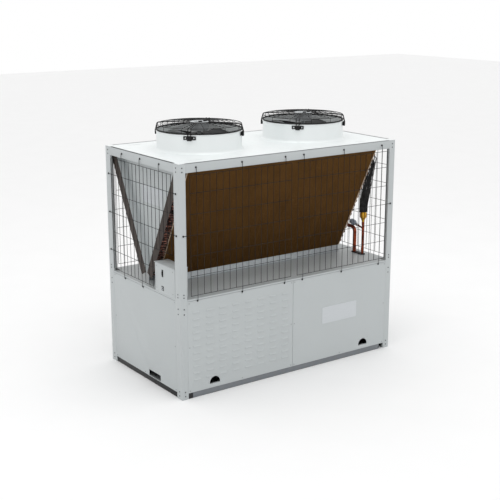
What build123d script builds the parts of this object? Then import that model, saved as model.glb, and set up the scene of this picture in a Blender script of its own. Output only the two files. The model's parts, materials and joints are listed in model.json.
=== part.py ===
"""Air-cooled heat pump: a closed cabinet, a V of two finned coils above it, and two fans on the deck.

Frame: +X runs along the unit, the louvred front looks to -Y, +Z is up.
The origin is on the floor at the middle of the footprint. All lengths are in millimetres.
"""
from build123d import *
from math import atan2, cos, degrees, hypot, radians, sin
import os

# Overall envelope
LENGTH = 2253.0            # outer faces of the end posts
DEPTH = 1198.0             # outer faces of the front and back posts
DECK_Z = 1945.0            # top of the fan deck
CABINET_Z = 845.0          # top of the closed lower cabinet
FIT = 0.3                  # gap between pieces that are bolted face to face
SEAM = 2.5                 # visible joint between two panels

# Folded sheet
POST_WALL = 3.0
POST_FRONT_LEG = 62.0
POST_END_LEG = 80.0
POST_LIP = 20.0
SHEET = 2.0
PANEL_DEPTH = 24.0
LEDGE_DROP = 14.0          # turned-down edge of the cabinet top
APRON = 75.0               # height of the rail under the deck

# Base
BASE_HEIGHT = 48.0
BASE_FLANGE = 60.0
BASE_SETBACK = 4.0
BASE_END_SETBACK = 8.0
BASE_NOTCH = 50.0          # gap between the front rail and the right-hand post
FLOOR_SHEET = 2.0
FOOT_HEIGHT = 44.0
FOOT_PLATE = 5.0

# Openings in the lower panels
LIFT_HOLE_INSET = 318.5    # from the end of the unit to the middle of a lifting hole
LIFT_HOLE_RADIUS = 50.0
LIFT_HOLE_SILL = 84.0
LIFT_HOLE_TOP = 144.0
SILL_TONGUE = 18.0         # lip turned in along the foot of a lifting hole
ENTRY_INSET = 344.0        # from the front of the unit to the cable entry in the end panel
ENTRY_WIDTH = 190.0
ENTRY_Z = 55.0
ENTRY_HEIGHT = 53.0

# Louvres pressed into the left-hand front panel
LOUVRE_COLUMNS = 8
LOUVRE_ROWS = 11
LOUVRE_MARGIN_X = 83.0     # from the panel's edge to the middle of the outer columns
LOUVRE_FIRST_Z = 152.0
LOUVRE_TOP_MARGIN = 102.5  # from the top of the panel down to the foot of the highest row
LOUVRE_WIDTH = 66.0
LOUVRE_HEIGHT = 12.0
LOUVRE_RISE = 6.0

# Coils
COIL_INSET_LEFT = 106.5    # from the end of the unit to the fins
COIL_INSET_RIGHT = 196.5
COIL_THICKNESS = 84.0
FINS_SHOWN = 31            # a coarse set that stands for fins a few millimetres apart
FIN_WIDTH = 4.0
FIN_RELIEF = 4.0
COIL_FOOT_Y = 84.0         # lower outer edge, from the middle plane
COIL_STAND = 61.0          # height of the coils' lower outer edge over the cabinet top
COIL_TOP_INSET = 36.0      # from the front of the unit to the upper outer edge
COIL_TOP_DROP = 83.0       # from the deck down to the upper outer edge
TUBE_SHEET = 2.0
TUBE_SHEET_FLANGE = 6.0
BEND_REACH_LEFT = 66.0
BEND_REACH_RIGHT = 26.0
BEND_MARGIN = 8.0
RIDGE_WALL = 3.0
RIDGE_FOOT = 22.0
HANGER_LENGTH = 120.0
HANGER_WALL = 4.0
V_PANEL_DROP = 55.0        # from the deck down to the top of the sheets that close the V

# Pipework at the right-hand end
PIPE_INSET = 96.5          # from the end of the unit to the upright pipes
HEADER_RADIUS = 13.0
LIQUID_RADIUS = 11.0
LIQUID_STANDOFF = 57.0     # from the coil's outer face to the distributor's axis
SUCTION_RADIUS = 17.0
SUCTION_STANDOFF = 26.0
SUCTION_RISE = 240.0       # height of the suction pipe's level run over the cabinet top
SUCTION_BEND = 42.0
SUCTION_RUN = 2.2          # length of the level run, in bend radii
LIQUID_RISE = 313.0        # height of the distributor over the cabinet top
DISTRIBUTOR_HEIGHT = 90.0
DISTRIBUTOR_RADIUS = 30.0
FEEDERS = 9
FEEDER_RADIUS = 3.5
FEEDER_PITCH = 5.5
FEEDER_TOP_SHARE = 0.97    # of the coil's height, where the highest tube enters
FEEDER_FALL_SHARE = 0.42   # from the highest to the lowest entry
FEEDER_DEPTH_SHARE = 0.2   # of the coil's thickness, behind its outer face
DRIER_RADIUS = 26.0
DRIER_LENGTH = 96.0
GROMMET_HEIGHT = 8.0
GROMMET_EDGE = 10.0        # rubber round the pipes

# Fan units
FAN_SHIFT = 11.875         # from the middle of a deck half towards the middle of the unit
RING_RADIUS = 360.0        # outside of the drawn ring
RING_WALL = 3.0
RING_HEIGHT = 160.0        # over the deck
RING_FLARE = 26.0
FLARE_STEP = 7.8           # first step of the flare, out and up
TIP_GAP = 9.0
HUB_RADIUS = 88.0
HUB_HEIGHT = 86.0
HUB_RISE = 40.0            # underside of the hub over the deck
HUB_FLOOR = 17.0
BLADES = 5
BLADE_THICKNESS = 5.0
BLADE_ROOT_CHORD = 150.0
BLADE_TIP_CHORD = 270.0
BLADE_ROOT_PITCH = 38.0
BLADE_TIP_PITCH = 17.0
BLADE_SWEEP = 16.0         # degrees from root to tip
BLADE_MID_TWIST = 0.6      # share of the twist that is done half-way out
BLADE_MID_SWEEP = 0.35     # share of the sweep that is done half-way out
BLADE_CAMBER = 0.09        # of the chord
BLADE_OVERRUN = 20.0       # past the hub's face and the tip circle before trimming
TIP_SIDES = 40             # flats round the tip circle
SPINDLE_RADIUS = 16.0
SPINDLE_GAP = 0.3
MOTOR_RADIUS = 80.0
MOTOR_HEIGHT = 76.0

# Fan guards
FAN_WIRE = 5.0
GUARD_OVERHANG = 18.0      # feet of the guard's arms outside the ring
GUARD_FOOT_DROP = 29.0     # below the top of the ring
GUARD_KNEE_INSET = 3.0
GUARD_KNEE_RISE = 47.0     # above the top of the ring
GUARD_DOME = 16.0          # hub ring above the knee ring
GUARD_RINGS = 4
GUARD_SPOKES = 8
GUARD_SIDES = 24           # straight runs round each ring of wire
ARM_GAP = 26.0             # between the two wires of an arm
ARM_TURN = 45.0            # the first arm from the unit's length, in degrees
CLAMP_WIDTH = 100.0
CLAMP_HEIGHT = 28.0
CLAMP_PLATE = 4.0
CLAMP_HOLE = 13.0
CLAMP_HOLE_OFFSET = 36.0
CLAMP_COUNT = 4
CLAMP_LUG_DROP = 7.0       # of the lug under the plate

# Wire panels round the coils
WIRE = 5.0
WIRES_FRONT = 17
WIRES_END = 17
WIRE_MARGIN = 33.5         # from an upright edge of the opening to the first wire
WIRE_MARGIN_END = 27.0
WIRE_LEVELS = (28.0, 190.0, 358.0, 526.0, 694.0, 862.0, 1005.0)   # over the cabinet top
CLIP_DROP = 20.0           # clips on the cabinet, below its top
CLIP_RISE = 35.0           # clips on the deck rail, below the deck
CLIP_REACH = 62.0

# Isolator box beside the front left post
BOX_WIDTH = 311.0
BOX_HEIGHT = 242.0
BOX_DEPTH = 120.0
BOX_SHEET = 3.0
BOX_ROOF_LAP = 6.0
SLOT_WIDTH = 26.0
SLOT_HEIGHT = 62.0
SLOT_INSET = 118.0         # from the box's rear edge
SLOT_Z = 168.0             # over the foot of the box
GLAND_SIZE = 38.0
GLAND_Z = 42.0

# Values that follow from the sizes above
HALF_LENGTH = LENGTH / 2
HALF_DEPTH = DEPTH / 2
FRAME_TOP = DECK_Z - SHEET
FLOOR_TOP = BASE_HEIGHT + FLOOR_SHEET
PANEL_FOOT = FLOOR_TOP + FIT
PANEL_TOP = CABINET_Z - LEDGE_DROP - SEAM
COIL_LEFT = -HALF_LENGTH + COIL_INSET_LEFT
COIL_RIGHT = HALF_LENGTH - COIL_INSET_RIGHT
COIL_FOOT_Z = CABINET_Z + COIL_STAND
COIL_TOP_Y = HALF_DEPTH - COIL_TOP_INSET
COIL_TOP_Z = DECK_Z - COIL_TOP_DROP
COIL_LEAN = degrees(atan2(COIL_TOP_Y - COIL_FOOT_Y, COIL_TOP_Z - COIL_FOOT_Z))
COIL_SLOPE = (COIL_TOP_Y - COIL_FOOT_Y) / (COIL_TOP_Z - COIL_FOOT_Z)
COIL_HEIGHT = hypot(COIL_TOP_Y - COIL_FOOT_Y, COIL_TOP_Z - COIL_FOOT_Z)
PIPE_X = HALF_LENGTH - PIPE_INSET
PIPE_FOOT_Z = CABINET_Z + GROMMET_HEIGHT + 2 * FIT
DISTRIBUTOR_Z = CABINET_Z + LIQUID_RISE
DISTRIBUTOR_TOP = DISTRIBUTOR_Z + DISTRIBUTOR_HEIGHT
FAN_X = (HALF_LENGTH + SEAM / 2) / 2 - FAN_SHIFT
RING_TOP_Z = DECK_Z + RING_HEIGHT
RING_BORE = RING_RADIUS - RING_WALL
BLADE_TIP = RING_BORE - TIP_GAP
HUB_LOW_Z = DECK_Z + HUB_RISE
GUARD_FOOT_RADIUS = RING_RADIUS + GUARD_OVERHANG
GUARD_FOOT_Z = RING_TOP_Z - GUARD_FOOT_DROP
GUARD_KNEE_RADIUS = RING_RADIUS - GUARD_KNEE_INSET
GUARD_KNEE_Z = RING_TOP_Z + GUARD_KNEE_RISE
GUARD_TOP_Z = GUARD_KNEE_Z + GUARD_DOME
MOTOR_TOP_Z = GUARD_TOP_Z + FAN_WIRE
MOTOR_LOW_Z = MOTOR_TOP_Z - MOTOR_HEIGHT
GUARD_DEPTH = 2 * WIRE + FIT


def block(x, y, z):
    """Plain block between a low and a high limit along each axis."""
    middle = [(low + high) / 2 for low, high in (x, y, z)]
    return Pos(*middle) * Box(x[1] - x[0], y[1] - y[0], z[1] - z[0])


def to_back(part):
    """Same piece turned half a turn about the vertical, as on the back of the unit."""
    return Rot(0, 0, 180) * part


def flip_y(part):
    """Same piece mirrored from front to back."""
    return mirror(part, about=Plane.XZ)


def flip_x(part):
    """Same piece mirrored from left to right."""
    return mirror(part, about=Plane.YZ)


def folded_panel(width, height):
    """Sheet panel with its edges folded back: face on the XZ plane looking to -Y, foot at z 0."""
    shell = Box(width, PANEL_DEPTH, height, align=(Align.CENTER, Align.MIN, Align.MIN))
    hollow = Box(width - 2 * SHEET, PANEL_DEPTH, height - 2 * SHEET,
                 align=(Align.CENTER, Align.MIN, Align.MIN))
    return shell - Pos(0, SHEET, SHEET) * hollow


def post():
    """Front left corner post: an angle of folded sheet with a lip on each leg."""
    left, front = -HALF_LENGTH, -HALF_DEPTH
    height = (0, FRAME_TOP)
    front_leg = block((left, left + POST_FRONT_LEG), (front, front + POST_WALL), height)
    end_leg = block((left, left + POST_WALL), (front, front + POST_END_LEG), height)
    front_lip = block((left + POST_FRONT_LEG - POST_WALL, left + POST_FRONT_LEG),
                      (front, front + POST_LIP), height)
    end_lip = block((left, left + POST_LIP),
                    (front + POST_END_LEG - POST_WALL, front + POST_END_LEG), height)
    return front_leg + end_leg + front_lip + end_lip


def foot_bracket():
    """Foot inside the front left post: a sole plate with two upright ears."""
    left = -HALF_LENGTH + POST_WALL + FIT
    front = -HALF_DEPTH + POST_WALL + FIT
    right = -HALF_LENGTH + POST_FRONT_LEG - POST_WALL - FIT
    back = -HALF_DEPTH + POST_END_LEG - POST_WALL - FIT
    sole = block((left, right), (front, back), (0, FOOT_PLATE))
    front_ear = block((left, right), (front, front + FOOT_PLATE), (0, FOOT_HEIGHT))
    end_ear = block((left, left + FOOT_PLATE), (front, back), (0, FOOT_HEIGHT))
    return sole + front_ear + end_ear


def channel_x(low, high, height, flange):
    """Channel along X with its web on the XZ plane and its flanges towards +Y."""
    web = block((low, high), (0, POST_WALL), (0, height))
    foot = block((low, high), (0, flange), (0, POST_WALL))
    head = block((low, high), (0, flange), (height - POST_WALL, height))
    return web + foot + head


def base_rails():
    """Two long rails set back under the panels and two cross members further in."""
    rail_low = -HALF_LENGTH + POST_FRONT_LEG + FIT
    rail_high = HALF_LENGTH - POST_FRONT_LEG - BASE_NOTCH
    long_rail = Pos(0, -HALF_DEPTH + BASE_SETBACK, 0) * channel_x(
        rail_low, rail_high, BASE_HEIGHT, BASE_FLANGE)
    reach = HALF_DEPTH - POST_END_LEG - FIT
    cross = Pos(-HALF_LENGTH + BASE_END_SETBACK, 0, 0) * Rot(0, 0, -90) * channel_x(
        -reach, reach, BASE_HEIGHT, BASE_FLANGE / 2)
    return [long_rail, to_back(long_rail), cross, to_back(cross)]


def floor_pan():
    """Floor sheet on the base rails, narrower between the posts at each end."""
    inner_x = HALF_LENGTH - POST_FRONT_LEG - FIT
    inner_y = HALF_DEPTH - POST_END_LEG - FIT
    level = (BASE_HEIGHT, FLOOR_TOP)
    middle = block((-inner_x, inner_x), (-HALF_DEPTH + BASE_SETBACK, HALF_DEPTH - BASE_SETBACK), level)
    ends = block((-HALF_LENGTH + BASE_SETBACK, HALF_LENGTH - BASE_SETBACK), (-inner_y, inner_y), level)
    return middle + ends


def lift_hole():
    """Cutter for a half-round lifting hole, centred on x 0, running through a panel face."""
    crown = LIFT_HOLE_TOP - LIFT_HOLE_RADIUS
    round_part = Pos(0, 0, crown) * Rot(90, 0, 0) * Cylinder(LIFT_HOLE_RADIUS, 4 * PANEL_DEPTH)
    above_sill = block((-LIFT_HOLE_RADIUS, LIFT_HOLE_RADIUS), (-PANEL_DEPTH, 2 * PANEL_DEPTH),
                       (LIFT_HOLE_SILL, LIFT_HOLE_TOP))
    foot = block((-LIFT_HOLE_RADIUS, LIFT_HOLE_RADIUS), (-PANEL_DEPTH, 2 * PANEL_DEPTH),
                 (LIFT_HOLE_SILL, crown))
    return (round_part & above_sill) + foot


def sill_tongue():
    """Lip turned in along the foot of a lifting hole."""
    return block((-LIFT_HOLE_RADIUS, LIFT_HOLE_RADIUS), (0, SILL_TONGUE),
                 (LIFT_HOLE_SILL - SHEET, LIFT_HOLE_SILL))


def louvre():
    """One pressed louvre: a hood that slopes out and down from the face."""
    profile = Polyline((0, 0), (-LOUVRE_RISE, 0), (0, LOUVRE_HEIGHT), close=True)
    return extrude(Plane.YZ * make_face(profile), LOUVRE_WIDTH / 2, both=True)


def long_panel(side, louvred=False):
    """Half-length panel of the cabinet front; side is -1 for the left half and 1 for the right."""
    width = HALF_LENGTH - POST_FRONT_LEG - FIT - SEAM / 2
    middle = side * (width + SEAM) / 2
    panel = Pos(middle, -HALF_DEPTH, PANEL_FOOT) * folded_panel(width, PANEL_TOP - PANEL_FOOT)
    hole = Pos(side * (HALF_LENGTH - LIFT_HOLE_INSET), -HALF_DEPTH, 0)
    panel = panel - hole * lift_hole() + hole * sill_tongue()
    if louvred:
        first_x = middle - width / 2 + LOUVRE_MARGIN_X
        pitch_x = (width - 2 * LOUVRE_MARGIN_X) / (LOUVRE_COLUMNS - 1)
        pitch_z = (PANEL_TOP - LOUVRE_TOP_MARGIN - LOUVRE_FIRST_Z) / (LOUVRE_ROWS - 1)
        hoods = [Pos(first_x + column * pitch_x, -HALF_DEPTH, LOUVRE_FIRST_Z + row * pitch_z) * louvre()
                 for column in range(LOUVRE_COLUMNS) for row in range(LOUVRE_ROWS)]
        panel += hoods
    return panel


def end_panel(with_entry):
    """Panel that closes the left-hand end of the cabinet."""
    width = DEPTH - 2 * POST_END_LEG - 2 * FIT
    panel = Pos(-HALF_LENGTH, 0, PANEL_FOOT) * Rot(0, 0, -90) * folded_panel(width, PANEL_TOP - PANEL_FOOT)
    if with_entry:
        edge = -HALF_DEPTH + ENTRY_INSET
        panel -= block((-HALF_LENGTH - PANEL_DEPTH, -HALF_LENGTH + PANEL_DEPTH / 2),
                       (edge, edge + ENTRY_WIDTH),
                       (ENTRY_Z, ENTRY_Z + ENTRY_HEIGHT))
    return panel


def cabinet_top():
    """Sheet over the cabinet with its edges turned down, notched round the posts."""
    drop = (CABINET_Z - LEDGE_DROP, CABINET_Z)
    shell = block((-HALF_LENGTH, HALF_LENGTH), (-HALF_DEPTH, HALF_DEPTH), drop)
    shell -= block((-HALF_LENGTH + SHEET, HALF_LENGTH - SHEET), (-HALF_DEPTH + SHEET, HALF_DEPTH - SHEET),
                   (drop[0] - SHEET, CABINET_Z - SHEET))
    for side_x in (-1, 1):
        for side_y in (-1, 1):
            corner_x = sorted((side_x * (HALF_LENGTH - POST_FRONT_LEG - FIT), side_x * (HALF_LENGTH + 1)))
            corner_y = sorted((side_y * (HALF_DEPTH - POST_END_LEG - FIT), side_y * (HALF_DEPTH + 1)))
            shell -= block(corner_x, corner_y, (0, CABINET_Z + 1))
    return shell


def coil_face_y(z):
    """Distance of the coils' outer faces from the middle plane at a height."""
    return COIL_FOOT_Y + (z - COIL_FOOT_Z) * COIL_SLOPE


def coil_place():
    """Plane on the front coil: origin at its lower outer edge, Y into the V, Z up the slope."""
    return Plane(origin=(0, -COIL_FOOT_Y, COIL_FOOT_Z), x_dir=(1, 0, 0),
                 z_dir=(0, -sin(radians(COIL_LEAN)), cos(radians(COIL_LEAN))))


def in_coil(part):
    """Moves a piece drawn in the front coil's own plane to its place in the unit."""
    return coil_place().location * part


def fin_pack():
    """Finned block of the front coil, with a coarse set of its fins proud of the outer side."""
    rise = (FIT, COIL_HEIGHT)
    core = block((COIL_LEFT, COIL_RIGHT), (FIN_RELIEF, COIL_THICKNESS), rise)
    fins = [block((x - FIN_WIDTH / 2, x + FIN_WIDTH / 2), (0, FIN_RELIEF), rise)
            for x in spread(COIL_LEFT + FIN_WIDTH / 2, COIL_RIGHT - FIN_WIDTH / 2, FINS_SHOWN)]
    return in_coil(core + fins)


def tube_sheets():
    """Thin plates on both ends of the front coil, with a flange along the outer edge."""
    plates = []
    for end, side in ((COIL_LEFT, -1), (COIL_RIGHT, 1)):
        face = end + side * FIT
        span = sorted((face, face + side * TUBE_SHEET))
        plate = block(span, (0, COIL_THICKNESS), (FIT, COIL_HEIGHT))
        lip_span = sorted((face, face + side * TUBE_SHEET_FLANGE))
        plate += block(lip_span, (0, TUBE_SHEET), (FIT, COIL_HEIGHT))
        plates.append(in_coil(plate))
    return plates


def bend_blocks():
    """Envelope of the return bends on both ends of the front coil."""
    blocks = []
    for end, side, reach in ((COIL_LEFT, -1, BEND_REACH_LEFT), (COIL_RIGHT, 1, BEND_REACH_RIGHT)):
        face = end + side * (2 * FIT + TUBE_SHEET)
        span = sorted((face, face + side * reach))
        envelope = block(span, (BEND_MARGIN, COIL_THICKNESS - BEND_MARGIN),
                         (BEND_MARGIN, COIL_HEIGHT - BEND_MARGIN))
        blocks.append(in_coil(envelope))
    return blocks


def bend_covers():
    """Narrow plate over the return bends at the left-hand end of the front coil."""
    face = COIL_LEFT - 3 * FIT - TUBE_SHEET - BEND_REACH_LEFT
    return in_coil(block((face - TUBE_SHEET, face), (0, COIL_THICKNESS), (FIT, COIL_HEIGHT)))


def coil_ridge():
    """Folded ridge on the cabinet top that the feet of both coils stand on."""
    slope = COIL_FOOT_Y * COIL_SLOPE
    foot = COIL_FOOT_Y + RIDGE_FOOT
    outline = Polyline((-foot, CABINET_Z), (-foot, CABINET_Z + RIDGE_WALL),
                       (-COIL_FOOT_Y, CABINET_Z + RIDGE_WALL), (-COIL_FOOT_Y, COIL_FOOT_Z),
                       (0, COIL_FOOT_Z + slope), (COIL_FOOT_Y, COIL_FOOT_Z),
                       (COIL_FOOT_Y, CABINET_Z + RIDGE_WALL), (foot, CABINET_Z + RIDGE_WALL),
                       (foot, CABINET_Z), (COIL_FOOT_Y - RIDGE_WALL, CABINET_Z),
                       (COIL_FOOT_Y - RIDGE_WALL, COIL_FOOT_Z - RIDGE_WALL),
                       (0, COIL_FOOT_Z + slope - RIDGE_WALL),
                       (-COIL_FOOT_Y + RIDGE_WALL, COIL_FOOT_Z - RIDGE_WALL),
                       (-COIL_FOOT_Y + RIDGE_WALL, CABINET_Z), close=True)
    face = Plane.YZ * make_face(outline)
    ridge = extrude(face, COIL_RIGHT - COIL_LEFT + 2 * TUBE_SHEET)
    return Pos(COIL_LEFT - TUBE_SHEET, 0, 0) * ridge


def coil_hangers():
    """Plates between the top edge of each coil and the deck frame."""
    top = in_coil(block((0, 1), (0, COIL_THICKNESS), (COIL_HEIGHT, COIL_HEIGHT + 1))).bounding_box()
    level = (top.max.Z + FIT, FRAME_TOP)
    y_high = top.max.Y
    places = (COIL_LEFT + HANGER_LENGTH, COIL_RIGHT - HANGER_LENGTH)
    hangers = []
    for x in places:
        plate = block((x - HANGER_LENGTH / 2, x + HANGER_LENGTH / 2),
                      (y_high - HANGER_WALL, y_high), level)
        hangers.append(plate)
    return hangers


def v_panel(reach):
    """Tray that closes the V at the left-hand end, its edges folded out along the return bends."""
    lean = radians(COIL_LEAN)
    inner_y = COIL_FOOT_Y - COIL_THICKNESS * cos(lean)
    inner_z = COIL_FOOT_Z + COIL_THICKNESS * sin(lean)
    tip = COIL_FOOT_Z + COIL_FOOT_Y * COIL_SLOPE + FIT
    top = DECK_Z - V_PANEL_DROP
    half_top = inner_y + ((top - inner_z) * sin(lean) - FIT) / cos(lean)
    half_tip = inner_y + ((tip - inner_z) * sin(lean) - FIT) / cos(lean)
    outline = Polyline((-half_tip, tip), (-half_top, top), (half_top, top), (half_tip, tip), close=True)
    depth = reach + TUBE_SHEET + 2 * FIT
    solid = extrude(Plane.YZ * make_face(outline), depth + SHEET)
    hollow_face = offset(make_face(outline), -SHEET, kind=Kind.INTERSECTION)
    hollow = extrude(Plane.YZ * hollow_face, depth)
    return Pos(COIL_LEFT - depth, 0, 0) * (solid - hollow)


def header():
    """Slanted suction header against the right-hand end of the front coil."""
    x = COIL_RIGHT + TUBE_SHEET + BEND_REACH_RIGHT + HEADER_RADIUS + 3 * FIT
    length = COIL_HEIGHT - 2 * HANGER_LENGTH
    tube = Pos(x, COIL_THICKNESS / 2, HANGER_LENGTH) * Cylinder(
        HEADER_RADIUS, length, align=(Align.CENTER, Align.CENTER, Align.MIN))
    return in_coil(tube)


def liquid_y():
    """Distance of the distributors' axes from the middle plane."""
    return coil_face_y(DISTRIBUTOR_TOP) + LIQUID_STANDOFF


def stick(start, end, radius):
    """Straight six-sided tube between two points."""
    return extrude(Plane(origin=start, z_dir=end - start) * RegularPolygon(radius, 6),
                   (end - start).length)


def feeders():
    """Feeder tubes that fan out from a distributor to the end of the front coil."""
    tubes = []
    spread = FEEDER_PITCH * (FEEDERS - 1) / 2
    end_x = COIL_RIGHT + 2 * FIT + TUBE_SHEET + BEND_REACH_RIGHT + FEEDER_RADIUS
    for index in range(FEEDERS):
        share = index / (FEEDERS - 1)
        offset = spread - index * FEEDER_PITCH
        start = Vector(PIPE_X, -liquid_y() - offset, DISTRIBUTOR_TOP + FIT + FEEDER_RADIUS)
        height = COIL_HEIGHT * (FEEDER_TOP_SHARE - FEEDER_FALL_SHARE * share)
        place = coil_place().location * Pos(end_x, COIL_THICKNESS * FEEDER_DEPTH_SHARE, height)
        tubes.append(stick(start, place.position, FEEDER_RADIUS))
    return tubes


def distributor():
    """Turned distributor on top of the liquid pipe: a cone that opens into a drum."""
    profile = Polyline((0, 0), (LIQUID_RADIUS, 0), (DISTRIBUTOR_RADIUS, DISTRIBUTOR_HEIGHT * 0.4),
                       (DISTRIBUTOR_RADIUS, DISTRIBUTOR_HEIGHT), (0, DISTRIBUTOR_HEIGHT), close=True)
    body = revolve(Plane.XZ * make_face(profile), Axis.Z)
    return Pos(PIPE_X, -liquid_y(), DISTRIBUTOR_Z) * body


def liquid_pipe():
    """Straight copper pipe from the rubber pad up to the distributor."""
    low = PIPE_FOOT_Z
    return Pos(PIPE_X, -liquid_y(), low) * Cylinder(
        LIQUID_RADIUS, DISTRIBUTOR_Z - FIT - low, align=(Align.CENTER, Align.CENTER, Align.MIN))


def suction_pipe():
    """Copper pipe that comes out from under the coil's end, bends and drops into the cabinet."""
    level = CABINET_Z + SUCTION_RISE
    drop_y = coil_face_y(level) + SUCTION_STANDOFF
    start_y = drop_y - SUCTION_RUN * SUCTION_BEND
    path = FilletPolyline((PIPE_X, -start_y, level), (PIPE_X, -drop_y, level),
                          (PIPE_X, -drop_y, PIPE_FOOT_Z), radius=SUCTION_BEND)
    section = Plane(origin=path @ 0, z_dir=path % 0) * RegularPolygon(SUCTION_RADIUS, 12)
    return sweep(section, path=path)


def grommet():
    """Oblong rubber pad on the cabinet top that the feet of both pipes stand in."""
    suction_y = coil_face_y(CABINET_Z + SUCTION_RISE) + SUCTION_STANDOFF
    width = 2 * (SUCTION_RADIUS + GROMMET_EDGE)
    outline = SlotCenterToCenter(liquid_y() - suction_y, width, 90)
    return Pos(PIPE_X, -(liquid_y() + suction_y) / 2, CABINET_Z + FIT) * extrude(outline, GROMMET_HEIGHT)


def drier():
    """Filter canister across the suction pipe's level run, with coned ends."""
    level = CABINET_Z + SUCTION_RISE + SUCTION_RADIUS + DRIER_RADIUS + FIT
    neck = DRIER_RADIUS / 2
    half = DRIER_LENGTH / 2
    profile = Polyline((0, -half), (neck, -half), (DRIER_RADIUS, neck - half), (DRIER_RADIUS, half - neck),
                       (neck, half), (0, half), close=True)
    body = revolve(Plane.XZ * make_face(profile), Axis.Z)
    middle_y = coil_face_y(level) + SUCTION_STANDOFF - half
    return Pos(PIPE_X, -middle_y, level) * Rot(90, 0, 0) * body


def top_rail_long():
    """Front rail under the deck: a channel between the two front posts."""
    reach = HALF_LENGTH - POST_FRONT_LEG - FIT
    rail = channel_x(-reach, reach, APRON - SHEET, POST_LIP)
    return Pos(0, -HALF_DEPTH, DECK_Z - APRON) * rail


def top_rail_end():
    """Left-hand rail under the deck."""
    reach = HALF_DEPTH - POST_END_LEG - FIT
    rail = channel_x(-reach, reach, APRON - SHEET, POST_LIP)
    return Pos(-HALF_LENGTH, 0, DECK_Z - APRON) * Rot(0, 0, -90) * rail


def deck(side):
    """Half of the deck with its fan ring drawn up out of the sheet, on a two-step flare."""
    inner, outer = sorted((side * SEAM / 2, side * HALF_LENGTH))
    foot = RING_RADIUS + RING_FLARE
    sheet = block((inner, outer), (-HALF_DEPTH, HALF_DEPTH), (FRAME_TOP, DECK_Z))
    sheet -= Pos(side * FAN_X, 0, DECK_Z) * Cylinder(foot, 4 * SHEET)
    profile = Polyline((foot, -SHEET), (foot, 0), (RING_RADIUS + FLARE_STEP, FLARE_STEP), (RING_RADIUS, RING_FLARE),
                       (RING_RADIUS, RING_HEIGHT), (RING_BORE, RING_HEIGHT),
                       (RING_BORE, RING_FLARE - RING_WALL / 2),
                       (RING_RADIUS + FLARE_STEP - RING_WALL, FLARE_STEP - RING_WALL), close=True)
    ring = revolve(Plane.XZ * make_face(profile), Axis.Z)
    return sheet + Pos(side * FAN_X, 0, DECK_Z) * ring


def blade_section(radius, chord, pitch, turn):
    """Cambered six-point section of a blade at a radius, pitched and swept round the axis."""
    camber = chord * BLADE_CAMBER
    half = chord / 2
    points = ((-half, 0), (-half / 3, camber), (half / 3, camber), (half, 0),
              (half / 3, camber - BLADE_THICKNESS), (-half / 3, camber - BLADE_THICKNESS))
    face = Plane(origin=(0, 0, 0), x_dir=(0, 1, 0), z_dir=(1, 0, 0)) * make_face(Polyline(*points, close=True))
    return Rot(0, 0, turn) * Pos(radius, 0, 0) * Rot(pitch, 0, 0) * face


def blade():
    """One fan blade, lofted from the hub outwards and trimmed to flats round the tip circle."""
    middle = (HUB_RADIUS + BLADE_TIP) / 2
    middle_pitch = BLADE_ROOT_PITCH + (BLADE_TIP_PITCH - BLADE_ROOT_PITCH) * BLADE_MID_TWIST
    sections = [
        blade_section(HUB_RADIUS - BLADE_OVERRUN, BLADE_ROOT_CHORD, BLADE_ROOT_PITCH, 0),
        blade_section(middle, (BLADE_ROOT_CHORD + BLADE_TIP_CHORD) / 2, middle_pitch,
                      BLADE_SWEEP * BLADE_MID_SWEEP),
        blade_section(BLADE_TIP + BLADE_OVERRUN, BLADE_TIP_CHORD, BLADE_TIP_PITCH, BLADE_SWEEP),
    ]
    tip_drum = extrude(RegularPolygon(BLADE_TIP, TIP_SIDES), 2 * HUB_HEIGHT, both=True)
    return loft(sections, ruled=True) & tip_drum


def impeller():
    """Fan rotor on its own axis, hub foot on z 0: hub with a bore for the spindle, and its blades."""
    hub = Cylinder(HUB_RADIUS, HUB_HEIGHT, align=(Align.CENTER, Align.CENTER, Align.MIN))
    blades = [Rot(0, 0, index * 360 / BLADES) * Pos(0, 0, HUB_HEIGHT / 2) * blade()
              for index in range(BLADES)]
    bore = Pos(0, 0, HUB_FLOOR) * Cylinder(SPINDLE_RADIUS + SPINDLE_GAP, HUB_HEIGHT,
                                           align=(Align.CENTER, Align.CENTER, Align.MIN))
    return hub + blades - bore


def motor():
    """Motor under the middle of the guard, with the spindle that carries the rotor."""
    can = Pos(0, 0, MOTOR_LOW_Z) * Cylinder(
        MOTOR_RADIUS, MOTOR_HEIGHT, align=(Align.CENTER, Align.CENTER, Align.MIN))
    spindle_foot = HUB_LOW_Z + HUB_FLOOR + SPINDLE_GAP
    spindle = Pos(0, 0, spindle_foot) * Cylinder(
        SPINDLE_RADIUS, MOTOR_LOW_Z - spindle_foot, align=(Align.CENTER, Align.CENTER, Align.MIN))
    return can + spindle


def wire_ring(radius, z):
    """Ring of square wire, bent in short straight runs."""
    outer = RegularPolygon(radius + FAN_WIRE / 2, GUARD_SIDES)
    inner = RegularPolygon(radius - FAN_WIRE / 2, GUARD_SIDES)
    return Pos(0, 0, z - FAN_WIRE / 2) * extrude(outer - inner, FAN_WIRE)


def radial_wire(points, offset=0.0):
    """Wire bent along points of radius and height, in an upright plane beside the axis."""
    return Pos(0, offset, 0) * extrude(Plane.XZ * trace(Polyline(*points), FAN_WIRE), FAN_WIRE / 2, both=True)


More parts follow.
